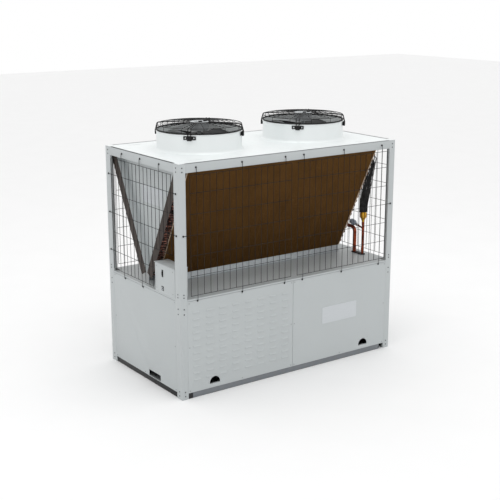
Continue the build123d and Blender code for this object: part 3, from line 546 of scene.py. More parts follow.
class PatternTree(GeometryGraph):
    """The given shape repeated in rows and columns."""

    def __init__(self) -> None:
        """Build the tree."""
        super().__init__("pattern", {"Columns": "Int", "Column step": "Vector", "Rows": "Int",
                                     "Row step": "Vector"})
        row = self.value("GeometryNodeMeshLine", None,
                         {"Count": self.input("Columns"), "Offset": self.input("Column step")})
        column = self.value("GeometryNodeMeshLine", None,
                            {"Count": self.input("Rows"), "Offset": self.input("Row step")})
        grid = self.value("GeometryNodeRealizeInstances", None, {"Geometry": self.repeated(row, column)})
        self.end(self.repeated(self.input("Geometry"), grid), smooth=False)


class ScrewTree(GeometryGraph):
    """A screw head on each point of a mesh, turned at random about the way that it faces."""

    SEED = 11

    def __init__(self) -> None:
        """Build the tree."""
        super().__init__("screw_field", {"Head": "Object"})
        head = self.value("GeometryNodeObjectInfo", None, {"Object": self.input("Head")}, "Geometry")
        facing = self.value("GeometryNodeInputNamedAttribute", {"data_type": "FLOAT_VECTOR"}, {"Name": "facing"})
        aimed = self.value("FunctionNodeAlignRotationToVector", {"axis": "Z"}, {"Vector": facing})
        angle = self.add("FunctionNodeRandomValue", {"data_type": "FLOAT"}, {"Seed": self.SEED})
        spin = self.value("FunctionNodeAxisAngleToRotation", None,
                          {"Axis": (0.0, 0.0, 1.0), "Angle": Value(self, angle.outputs[1]) * math.tau})
        turned = self.value("FunctionNodeRotateRotation", {"rotation_space": "LOCAL"},
                            {"Rotation": aimed, "Rotate By": spin})
        self.end(self.repeated(head, self.input("Geometry"), rotation=turned), smooth=False)


class GuardTree(GeometryGraph):
    """A fan guard's cage: the given wire repeated as spokes, and rings on a shallow cone."""

    RING_STEPS = 72

    def __init__(self) -> None:
        """Build the tree."""
        super().__init__("guard_cage", {"Hub radius": "Float", "Knee radius": "Float", "Hub height": "Float",
                                        "Knee height": "Float", "Rings": "Int", "Spokes": "Int",
                                        "Wire radius": "Float"})
        index = self.value("GeometryNodeInputIndex")
        share = index / (self.input("Rings") - 1)
        radius = self.input("Hub radius") + (self.input("Knee radius") - self.input("Hub radius")) * share
        height = self.input("Hub height") + (self.input("Knee height") - self.input("Hub height")) * share
        places = self.value("GeometryNodeMeshLine", None, {"Count": self.input("Rings")})
        places = self.value("GeometryNodeSetPosition", None,
                            {"Geometry": places, "Position": self.vector(z=height)})
        circle = self.value("GeometryNodeCurvePrimitiveCircle", None, {"Resolution": self.RING_STEPS, "Radius": 1.0})
        circles = self.repeated(circle, places, scale=self.vector(radius, radius, 1.0))
        circles = self.value("GeometryNodeRealizeInstances", None, {"Geometry": circles})
        wire = self.input("Wire radius")
        rings = self.tube(circles, wire, 6)
        spoke_line = self.value("GeometryNodeMeshToCurve", None, {"Mesh": self.input("Geometry")})
        around = self.value("GeometryNodeMeshLine", None,
                            {"Count": self.input("Spokes"), "Offset": (0.0, 0.0, 0.0)})
        turn = self.vector(z=index * math.tau / self.input("Spokes"))
        spokes = self.repeated(self.tube(spoke_line, wire, 6), around, rotation=turn)
        self.end(self.value("GeometryNodeJoinGeometry", None, {"Geometry": [rings, spokes]}))


class Shape:
    """Points and faces that are collected into one mesh."""

    def __init__(self) -> None:
        """Start with nothing."""
        self.points: list[Vector] = []
        self.faces: list[list[int]] = []

    def loops(self, rings: Sequence[Sequence[Vector]], closed: bool = False, capped: bool = False) -> None:
        """Skin loops of as many points each.

        Args:
            rings: The loops, in order.
            closed: Whether the last loop joins the first.
            capped: Whether the first and last loops are filled.
        """
        start = len(self.points)
        count = len(rings[0])
        for ring in rings:
            self.points.extend(Vector(point) for point in ring)
        bands = len(rings) if closed else len(rings) - 1
        for band in range(bands):
            low = start + band * count
            high = start + (band + 1) % len(rings) * count
            for step in range(count):
                after = (step + 1) % count
                self.faces.append([low + step, low + after, high + after, high + step])
        if capped:
            last = start + (len(rings) - 1) * count
            self.faces.append([start + step for step in reversed(range(count))])
            self.faces.append([last + step for step in range(count)])

    def block(self, low: Sequence[float], high: Sequence[float]) -> None:
        """Add a box between two corners."""
        corners = [(low[0], low[1]), (high[0], low[1]), (high[0], high[1]), (low[0], high[1])]
        self.loops([[Vector((x, y, z)) for x, y in corners] for z in (low[2], high[2])], capped=True)

    def lathe(self, profile: Sequence[tuple[float, float]], centre: Vector, steps: int) -> None:
        """Turn a closed profile of radii and heights about an upright axis."""
        rings = []
        for radius, height in profile:
            rings.append([centre + Vector((radius * math.cos(angle), radius * math.sin(angle), height))
                          for angle in (math.tau * step / steps for step in range(steps))])
        self.loops(rings, closed=True)

    def mesh(self, name: str, smooth_angle: float = 0.6, rounding: float = 0.0) -> bpy.types.Mesh:
        """Return the collected mesh.

        Args:
            name: The mesh's name.
            smooth_angle: Edges that turn by more than this stay sharp.
            rounding: Radius of the bevel on sharp edges, or 0.
        """
        work = bmesh.new()
        points = [work.verts.new(point) for point in self.points]
        for face in self.faces:
            if len({tuple(self.points[index]) for index in face}) > 2:
                work.faces.new([points[index] for index in face])
        return settle(work, name, smooth_angle, rounding)


def settle(work: bmesh.types.BMesh, name: str, smooth_angle: float, rounding: float,
           steps: int = 2) -> bpy.types.Mesh:
    """Merge, turn outwards, bevel and shade a mesh under work.

    Args:
        work: The mesh under work, which is freed.
        name: Name of the result.
        smooth_angle: Edges that turn by more than this are sharp.
        rounding: Radius of the bevel on sharp edges, or 0.
        steps: Faces across a bevel.

    Returns:
        The finished mesh.
    """
    bmesh.ops.remove_doubles(work, verts=work.verts, dist=0.00001)
    bmesh.ops.dissolve_degenerate(work, edges=work.edges, dist=0.00001)
    bmesh.ops.recalc_face_normals(work, faces=work.faces)
    if rounding:
        sharp = [edge for edge in work.edges
                 if edge.is_manifold and edge.calc_face_angle(0.0) > smooth_angle]
        bmesh.ops.bevel(work, geom=sharp, offset=rounding, offset_type="OFFSET", segments=steps,
                        profile=0.5, affect="EDGES", clamp_overlap=True)
    mesh = bpy.data.meshes.new(name)
    work.to_mesh(mesh)
    work.free()
    mesh.polygons.foreach_set("use_smooth", [True] * len(mesh.polygons))
    mesh.set_sharp_from_angle(angle=smooth_angle)
    return mesh


def polylines(lines: Iterable[Sequence[Sequence[float]]]) -> bpy.types.Mesh:
    """Return a mesh of loose edges along several lines of points."""
    points: list[Sequence[float]] = []
    edges: list[tuple[int, int]] = []
    for line in lines:
        start = len(points)
        points.extend(line)
        edges.extend((start + step, start + step + 1) for step in range(len(line) - 1))
    mesh = bpy.data.meshes.new("lines")
    mesh.from_pydata(points, edges, [])
    return mesh


def joined(meshes: Sequence[bpy.types.Mesh], name: str) -> bpy.types.Mesh:
    """Join meshes into one that keeps their materials, and remove them."""
    work = bmesh.new()
    materials: list[bpy.types.Material] = []
    for mesh in meshes:
        first = len(work.faces)
        places = {}
        for index, material in enumerate(mesh.materials):
            if material not in materials:
                materials.append(material)
            places[index] = materials.index(material)
        work.from_mesh(mesh)
        work.faces.ensure_lookup_table()
        for face in work.faces[first:]:
            face.material_index = places.get(face.material_index, 0)
        bpy.data.meshes.remove(mesh)
    result = bpy.data.meshes.new(name)
    work.to_mesh(result)
    work.free()
    for material in materials:
        result.materials.append(material)
    return result


def coated(mesh: bpy.types.Mesh, finish: Finish) -> bpy.types.Mesh:
    """Give a mesh one finish and return it."""
    mesh.materials.clear()
    mesh.materials.append(finish.material())
    return mesh


class Workshop:
    """Places finished pieces on their bodies and holds the tools that make them."""

    def __init__(self) -> None:
        """Build the Geometry Nodes trees."""
        self.wire_tree = WireTree()
        self.pattern_tree = PatternTree()
        self.screw_tree = ScrewTree()
        self.guard_tree = GuardTree()

    def place(self, name: str, mesh: bpy.types.Mesh, body: Body, slot: str,
              replaces: Sequence[str] = ()) -> bpy.types.Object:
        """Put a finished mesh on a body.

        Args:
            name: The piece's name.
            mesh: Its mesh, which already holds its place and finishes.
            body: The body that it rides on.
            slot: The record's material slot of its finish. It is not used.
            replaces: CAD nodes that it stands for.

        Returns:
            The piece.
        """
        piece = bpy.data.objects.new(name, mesh)
        bpy.context.scene.collection.objects.link(piece)
        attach(piece, body.value)
        if replaces:
            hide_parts(*replaces)
        log.info("%s: %d faces on %s", name, len(mesh.polygons), body.value)
        return piece

    def refine(self, node: str, finish: Finish, rounding: float = 0.0007,
               smooth_angle: float = 0.5) -> bpy.types.Object:
        """Stand a copy of a CAD node in its place, with its edges rounded and a finish.

        Args:
            node: The CAD node.
            finish: The copy's finish.
            rounding: Radius of its edges.
            smooth_angle: Edges that turn by more than this are sharp.

        Returns:
            The piece.
        """
        work = bmesh.new()
        work.from_mesh(frame["nodes"][node].data)
        bmesh.ops.remove_doubles(work, verts=work.verts, dist=0.00002)
        bmesh.ops.dissolve_limit(work, angle_limit=0.01, verts=work.verts, edges=work.edges)
        mesh = settle(work, node + "_finished", smooth_angle, rounding)
        body = next(body for body in Body if node in frame["record"]["behaviour"]["bodies"][body.value])
        return self.place(node + "_finished", coated(mesh, finish), body, finish.slot, [node])

    def dress(self, node: str, finish: Finish) -> None:
        """Give a CAD node that shows as it is a finish."""
        thing = frame["nodes"][node]
        coated(thing.data, finish)
        log.info("%s: dressed as it is", node)

    def wires(self, lines: Iterable[Sequence[Sequence[float]]], radius: float, finish: Finish,
              bend: float = 0.0, sides: int = 8, steps: int = 5) -> bpy.types.Mesh:
        """Return round wires along lines of points, with corners bent to a radius."""
        return self.wire_tree.run(polylines(lines), finish, wire_radius=radius, sides=sides,
                                  bend_radius=bend, bend_steps=steps)

    def pattern(self, mesh: bpy.types.Mesh, finish: Finish, columns: int, column_step: Sequence[float],
                rows: int = 1, row_step: Sequence[float] = (0.0, 0.0, 0.0)) -> bpy.types.Mesh:
        """Return a mesh repeated in rows and columns."""
        return self.pattern_tree.run(mesh, finish, columns=columns, column_step=column_step,
                                     rows=rows, row_step=row_step)


@dataclass
class Unit:
    """The outline of the whole unit, read from the frame."""

    half_length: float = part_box("cabinet_top")[1].x
    half_depth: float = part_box("cabinet_top")[1].y
    cabinet_z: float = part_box("cabinet_top")[1].z
    deck_z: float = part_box("top_rails")[1].z
    post_front_leg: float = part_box("corner_post_front_left")[1].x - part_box("corner_post_front_left")[0].x
    post_end_leg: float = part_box("corner_post_front_left")[1].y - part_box("corner_post_front_left")[0].y


class Head(Enum):
    """A kind of fastener head: its radius, its height and its finish."""

    POST_SCREW = (0.0055, 0.0026, SCREW_DARK)
    PANEL_SCREW = (0.0042, 0.0020, SCREW_PALE)
    WIRE_CLIP = (0.0080, 0.0060, GUARD_WIRE)


@dataclass
class Fasteners:
    """Screws and clips of the whole unit, collected and set in one piece for each kind."""

    unit: Unit
    corner_inset: float = 0.016
    post_levels: tuple[float, ...] = (0.030, 0.066, 0.728, 0.772, 0.868, 0.892, 1.880, 1.912)
    places: dict[Head, list[tuple[Vector, Vector]]] = field(default_factory=dict)

    SIDES = 10

    def add(self, head: Head, place: Vector, facing: Vector) -> None:
        """Ask for a fastener at a place."""
        self.places.setdefault(head, []).append((place, facing))

    def post_screws(self) -> None:
        """Ask for the screws on both legs of the four posts."""
        unit = self.unit
        for side in Side:
            for face in Face:
                leg_x = side.value * (unit.half_length - unit.post_front_leg / 2)
                leg_y = face.value * (unit.half_depth - unit.post_end_leg / 2)
                for level in self.post_levels:
                    front = Vector((leg_x, face.value * unit.half_depth, level))
                    end = Vector((side.value * unit.half_length, leg_y, level))
                    self.add(Head.POST_SCREW, front, Vector((0, face.value, 0)))
                    self.add(Head.POST_SCREW, end, Vector((side.value, 0, 0)))

    def panel_screws(self, node: str, facing: Vector, across: int, up: int) -> None:
        """Ask for screws round the edge of a panel.

        Args:
            node: The panel's CAD node.
            facing: The way that the panel faces.
            across: Screws along its top and bottom.
            up: Screws along its sides.
        """
        low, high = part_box(node)
        inset = self.corner_inset
        axis = 1 if abs(facing.x) > 0.5 else 0
        surface = high if (facing.x + facing.y) > 0 else low
        if facing == FRONT:
            surface = Vector((0, -self.unit.half_depth, 0))
        starts = (low[axis] + inset, low.z + inset)
        ends = (high[axis] - inset, high.z - inset)
        spots = {(column, row) for column in range(across) for row in (0, up - 1)}
        spots |= {(column, row) for column in (0, across - 1) for row in range(up)}
        for column, row in sorted(spots):
            along = starts[0] + (ends[0] - starts[0]) * column / (across - 1)
            level = starts[1] + (ends[1] - starts[1]) * row / (up - 1)
            place = Vector((along, surface.y, level)) if axis == 0 else Vector((surface.x, along, level))
            self.add(Head.PANEL_SCREW, place, facing)

    def head_mesh(self, head: Head) -> bpy.types.Mesh:
        """Return one head: a low dome with a socket in its middle."""
        radius, height, finish = head.value
        profile = [(radius, 0.0), (radius, height * 0.45), (radius * 0.78, height * 0.9),
                   (radius * 0.42, height), (radius * 0.36, height * 0.45)]
        rings = [[Vector((r * math.cos(math.tau * step / self.SIDES), r * math.sin(math.tau * step / self.SIDES), z))
                  for step in range(self.SIDES)] for r, z in profile]
        shape = Shape()
        shape.loops(rings, capped=True)
        return coated(shape.mesh("head", 0.9), finish)

    def build(self, shop: Workshop) -> None:
        """Set every fastener that was asked for."""
        for head, places in self.places.items():
            points = bpy.data.meshes.new("places")
            points.from_pydata([place for place, _ in places], [], [])
            facing = points.attributes.new("facing", "FLOAT_VECTOR", "POINT")
            facing.data.foreach_set("vector", [part for _, way in places for part in way])
            model = bpy.data.objects.new("model", self.head_mesh(head))
            finish = head.value[2]
            mesh = shop.screw_tree.run(points, finish, head=model)
            bpy.data.objects.remove(model)
            shop.place(head.name.lower() + "s", mesh, Body.CABINET, finish.slot)


@dataclass
class Cabinet:
    """Posts, rails, panels and floor of the closed lower cabinet."""

    unit: Unit
    fasteners: Fasteners

    def build(self, shop: Workshop) -> None:
        """Dress the cabinet's sheets and ask for their screws."""
        for face in Face:
            for side in Side:
                shop.refine(f"corner_post_{face.word}_{side.word}", PANEL_PAINT)
                panel = f"{face.word}_panel_{side.word}"
                shop.refine(panel, PANEL_PAINT, smooth_angle=0.35)
                self.fasteners.panel_screws(panel, Vector((0, face.value, 0)), 3, 3)
        for side in Side:
            shop.refine(f"end_panel_{side.word}", PANEL_PAINT)
            self.fasteners.panel_screws(f"end_panel_{side.word}", Vector((side.value, 0, 0)), 3, 3)
        shop.refine("cabinet_top", PANEL_PAINT)
        shop.refine("top_rails", PANEL_PAINT)
        shop.refine("base_rails", RAIL_PAINT)
        shop.refine("coil_ridge", GALVANISED)
        shop.dress("floor_pan", GALVANISED)
        shop.dress("foot_brackets", GALVANISED)
        self.fasteners.post_screws()


@dataclass
class Coil:
    """One slanted finned coil with its frame and return bends."""

    unit: Unit
    face: Face
    thickness: float = 0.084
    foot_y: float = 0.084
    foot_z: float = 0.906
    top_y: float = 0.563
    top_z: float = 1.862
    fin_pitch: float = 0.0032
    fin_thickness: float = 0.0005
    core_inset: float = 0.004
    tube_pitch: float = 0.0254
    tube_rows: int = 4
    tube_radius: float = 0.0052
    flange_width: float = 0.009
    flange_height: float = 0.0015
    bend_end_gap: float = 0.02

    @property
    def lean(self) -> float:
        """Return the coil's lean from upright, in radians."""
        return math.atan2(self.top_y - self.foot_y, self.top_z - self.foot_z)

    @property
    def height(self) -> float:
        """Return the coil's height along its slope."""
        return math.hypot(self.top_y - self.foot_y, self.top_z - self.foot_z)

    def matrix(self) -> Matrix:
        """Return the coil's own frame: X along it, Y into it from its outer face, Z up its slope."""
        flip = Matrix.Diagonal((1, 1 if self.face is Face.FRONT else -1, 1, 1))
        turn = Matrix.Rotation(self.lean, 4, "X")
        return flip @ Matrix.Translation((0, -self.foot_y, self.foot_z)) @ turn

    def fins(self, shop: Workshop, low_x: float, high_x: float) -> bpy.types.Mesh:
        """Return the fins and a block behind them that stands for the tubes, painted dark as the shade deep between the
        fins.
        """
        count = int((high_x - low_x) / self.fin_pitch)
        fin = Shape()
        fin.block((low_x, 0, 0), (low_x + self.fin_thickness, self.thickness, self.height))
        fins = shop.pattern(fin.mesh("fin"), FINS, count, (self.fin_pitch, 0, 0))
        depths = Shape()
        depths.block((low_x, self.core_inset, self.core_inset),
                     (high_x, self.thickness - self.core_inset, self.height - self.core_inset))
        return joined([fins, coated(depths.mesh("depths"), FIN_DEPTH_SHADE)], "fins")

    def bends(self, shop: Workshop, side: Side, root_x: float, tip_x: float) -> bpy.types.Mesh:
        """Return the return bends at one end, in staggered rows.

        Args:
            shop: The workshop.
            side: The end of the unit.
            root_x: Where the bends leave the tube sheet.
            tip_x: How far they reach.
        """
        reach = abs(tip_x - root_x) - self.tube_radius
        half = self.tube_pitch / 2
        line = [(0, 0, -half), (side.value * reach, 0, -half), (side.value * reach, 0, half), (0, 0, half)]
        row_step = self.thickness / self.tube_rows
        count = int((self.height - 2 * self.bend_end_gap) / (2 * self.tube_pitch))
        columns = []
        for row in range(self.tube_rows):
            bend = shop.wires([line], self.tube_radius, BENDS, half * 0.98, 7, 4)
            column = shop.pattern(bend, BENDS, 1, (0, 0, 0), count, (0, 0, 2 * self.tube_pitch))
            start = self.bend_end_gap + self.tube_pitch * (1.0 + 0.5 * (row % 2))
            column.transform(Matrix.Translation((root_x, row_step * (row + 0.5), start)))
            columns.append(column)
        return joined(columns, "bends")

    def build(self, shop: Workshop) -> None:
        """Build the coil's pieces in its own frame and set them in place."""
        node = f"coil_{self.face.word}"
        low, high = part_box(node)
        fins = self.fins(shop, low.x, high.x)
        place_in(fins, self.matrix())
        shop.place(f"fin_pack_{self.face.word}", fins, Body.CABINET, FINS.slot, [node])
        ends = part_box("return_bends")
        left = self.bends(shop, Side.LEFT, low.x, ends[0].x)
        right = self.bends(shop, Side.RIGHT, high.x, ends[1].x)
        bends = joined([left, right], "bends")
        place_in(bends, self.matrix())
        stands_for = ["return_bends"] if self.face is Face.FRONT else []
        shop.place(f"tube_bends_{self.face.word}", bends, Body.CABINET, BENDS.slot, stands_for)
        flange = Shape()
        edge_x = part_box("tube_sheets")[1].x
        flange.block((edge_x - self.flange_width, -self.flange_height, 0), (edge_x, -0.0002, self.height))
        strip = coated(flange.mesh("flange", 0.5), TUBE_SHEET)
        place_in(strip, self.matrix())
        shop.place(f"casing_flange_{self.face.word}", strip, Body.CABINET, TUBE_SHEET.slot)


def place_in(mesh: bpy.types.Mesh, matrix: Matrix) -> None:
    """Move a mesh by a matrix, and turn its faces back outwards if the matrix mirrors it."""
    mesh.transform(matrix)
    if matrix.determinant() < 0:
        mesh.flip_normals()


@dataclass
class Pipework:
    """Pipes at the right-hand end of one coil."""

    coil: Coil
    columns: int = 9
    layers: int = 3
    feeder_pitch: float = 0.0082
    feeder_radius: float = 0.0041
    feeder_bend: float = 0.04
    lowest_entry: float = 0.60
    highest_entry: float = 0.965
    pipe_radius: float = 0.011
    can_tilt: float = 14.0
    sides: int = 20

    ACROSS = Vector((0.816, -0.577, 0))
    INWARD = Vector((0.577, 0.816, 0))

    def mirrored(self, mesh: bpy.types.Mesh) -> bpy.types.Mesh:
        """Return a mesh made for the front coil, mirrored where this is the back one."""
        if self.coil.face is Face.BACK:
            place_in(mesh, Matrix.Diagonal((1, -1, 1, 1)))
        return mesh

    def front_box(self, node: str) -> tuple[Vector, Vector]:
        """Return the box of the front one of a node's two like solids."""
        low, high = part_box(node)
        inner = min(vertex.co.y for vertex in frame["nodes"][node].data.vertices if vertex.co.y > 0)
        return low, Vector((high.x, -inner, high.z))

    def feeder_lines(self, start: Vector) -> list[list[Vector]]:
        """Return the routes of the feeder tubes from the distributor to the coil's end.

        Args:
            start: The middle of the distributor's top.
        """
        matrix = Coil(self.coil.unit, Face.FRONT).matrix()
        end_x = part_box("tube_sheets")[1].x
        lines = []
        for column in range(self.columns):
            for layer in range(self.layers):
                share = (column + layer / self.layers) / (self.columns - 1 / self.layers)
                across = self.feeder_pitch * (column - (self.columns - 1) / 2 + 0.35 * (layer - 1))
                inward = self.feeder_pitch * (layer - (self.layers - 1) / 2)
                foot = start + self.ACROSS * across + self.INWARD * inward
                level = self.coil.height * (self.lowest_entry + (self.highest_entry - self.lowest_entry) * share)
                depth = self.coil.thickness * (0.10 + 0.22 * layer)
                reach = 0.048 - 0.009 * layer
                turn = matrix @ Vector((end_x + reach, depth, level - 0.02))
                sway = self.ACROSS * 0.003 * math.sin(5.0 * column + 2.0 * layer)
                middle = (foot + UP * 0.05).lerp(turn, 0.5) + sway
                entry = matrix @ Vector((end_x, depth, level + 0.006))
                lines.append([foot, foot + UP * 0.05, middle, turn, entry])
        return lines

    def build(self, shop: Workshop) -> None:
        """Build the pipes and fittings of one coil."""
        word = self.coil.face.word
        first = self.coil.face is Face.FRONT
        low, high = self.front_box("distributors")
        axis = Vector(((low.x + high.x) / 2, (low.y + high.y) / 2, 0))
        radius, foot, top = (high.x - low.x) / 2 * 1.05, low.z, high.z
        drum = Shape()
        drum.lathe([(0, foot), (self.pipe_radius * 1.25, foot), (self.pipe_radius * 1.25, foot + 0.012),
                    (radius * 0.78, foot + 0.034), (radius, foot + 0.042), (radius, top - 0.014),
                    (radius * 0.9, top - 0.004), (radius * 0.84, top), (0, top)], axis, 36)
        shop.place(f"distributor_{word}", self.mirrored(coated(drum.mesh("drum", 0.5), BRASS)),
                   Body.CABINET, BRASS.slot, ["distributors"] if first else [])
        lines = self.feeder_lines(axis + UP * top)
        feeders = shop.wires(lines, self.feeder_radius, FEEDER_SLEEVE, self.feeder_bend, 8, 5)
        shop.place(f"feeders_{word}", self.mirrored(feeders), Body.CABINET, FEEDER_SLEEVE.slot,
                   ["feeder_bundles"] if first else [])
        pipe_low = self.front_box("liquid_pipes")[0]
        liquid = shop.wires([[axis + UP * pipe_low.z, axis + UP * (foot + 0.003)]], self.pipe_radius, COPPER,
                            0.0, self.sides)
        collar = Shape()
        for level in (pipe_low.z + 0.03, foot - 0.03):
            collar.lathe([(self.pipe_radius, level), (self.pipe_radius * 1.2, level + 0.002),
                          (self.pipe_radius * 1.2, level + 0.022), (self.pipe_radius, level + 0.024)], axis, 24)
        liquid = joined([liquid, coated(collar.mesh("collar", 0.5), COPPER)], "liquid")
        shop.place(f"liquid_pipe_{word}", self.mirrored(liquid), Body.CABINET, COPPER.slot,
                   ["liquid_pipes"] if first else [])
        self.suction(shop, word, first)
        self.header(shop, word, first)
        self.drier(shop, word, first)

    def suction(self, shop: Workshop, word: str, first: bool) -> None:
        """Build the suction pipe that bends down into the cabinet."""
        low, high = self.front_box("suction_pipes")
        x = (low.x + high.x) / 2
        level = high.z - (high.x - low.x) / 2
        drop_y = low.y + (high.x - low.x) / 2
        line = [(x, high.y, level), (x, drop_y, level), (x, drop_y, low.z)]
        pipe = shop.wires([line], (high.x - low.x) / 2, COPPER, 0.045, self.sides, 10)
        shop.place(f"suction_pipe_{word}", self.mirrored(pipe), Body.CABINET, COPPER.slot,
                   ["suction_pipes"] if first else [])

    def header(self, shop: Workshop, word: str, first: bool) -> None:
        """Build the slanted suction header with its stubs into the coil."""
        low, high = self.front_box("suction_headers")
        radius = (high.x - low.x) / 2
        x = (low.x + high.x) / 2
        matrix = Coil(self.coil.unit, Face.FRONT).matrix()
        middle = self.coil.thickness / 2
        ends = [matrix @ Vector((x, middle, 0.13)), matrix @ Vector((x, middle, self.coil.height - 0.13))]
        stubs = [[matrix @ Vector((x, middle, level)), matrix @ Vector((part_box("coil_front")[1].x, middle, level))]
                 for level in (0.2 + 0.06 * step for step in range(12))]
        tubes = joined([shop.wires([ends], radius * 0.85, BENDS, 0.0, self.sides),
                        shop.wires(stubs, 0.0048, BENDS, 0.0, 8)], "header")
        shop.place(f"suction_header_{word}", self.mirrored(tubes), Body.CABINET, BENDS.slot,
                   ["suction_headers"] if first else [])

    def drier(self, shop: Workshop, word: str, first: bool) -> None:
        """Build the filter canister with its rolled ends."""
        low, high = self.front_box("filter_driers")
        radius = (high.z - low.z) / 2 * 0.97
        centre = (low + high) / 2
        half = (high.y - low.y) / 2
        can = Shape()
        can.lathe([(0, -half), (radius * 0.34, -half), (radius * 0.4, -half + 0.01), (radius * 0.8, -half + 0.018),
                   (radius, -half + 0.03), (radius, half - 0.03), (radius * 0.8, half - 0.018),
                   (radius * 0.4, half - 0.01), (radius * 0.34, half), (0, half)], Vector(), 32)
        nut = Shape()
        nut.lathe([(0.006, half), (0.015, half), (0.015, half + 0.014), (0.011, half + 0.026),
                   (0.006, half + 0.026)], Vector(), 6)
        mesh = joined([coated(can.mesh("can", 0.6), CANISTER_PAINT), coated(nut.mesh("nut", 0.3), PALE_NUT)], "can")
        mesh.transform(Matrix.Translation(centre) @ Matrix.Rotation(math.radians(90 + self.can_tilt), 4, "X"))
        pipe_y = (self.front_box("liquid_pipes")[0].y + self.front_box("liquid_pipes")[1].y) / 2
        tilt = math.radians(self.can_tilt)
        way = Vector((0, -math.cos(tilt), -math.sin(tilt)))
        run = (centre.y - pipe_y) / math.cos(tilt)
        link = shop.wires([[centre + way * (half + 0.01), centre + way * run]], 0.0075, COPPER, 0.0, self.sides)
        mesh = joined([mesh, link], "can")
        shop.place(f"filter_drier_{word}", self.mirrored(mesh), Body.CABINET, CANISTER_PAINT.slot,
                   ["filter_driers"] if first else [])


@dataclass
class CoilSection:
    """Everything between the cabinet top and the deck but the wire guards."""

    unit: Unit

    def build(self, shop: Workshop) -> None:
        """Build both coils, the sheets that close the V and the pipes."""
        for face in Face:
            coil = Coil(self.unit, face)
            coil.build(shop)
            Pipework(coil).build(shop)
        shop.refine("tube_sheets", TUBE_SHEET)
        shop.refine("bend_covers", BEND_COVER, 0.0)
        shop.refine("pipe_grommets", FAN_PLASTIC, 0.002)
        shop.refine("v_panel_left", PANEL_PAINT)
        shop.refine("v_panel_right", PANEL_PAINT)
        shop.dress("coil_hangers", GALVANISED)


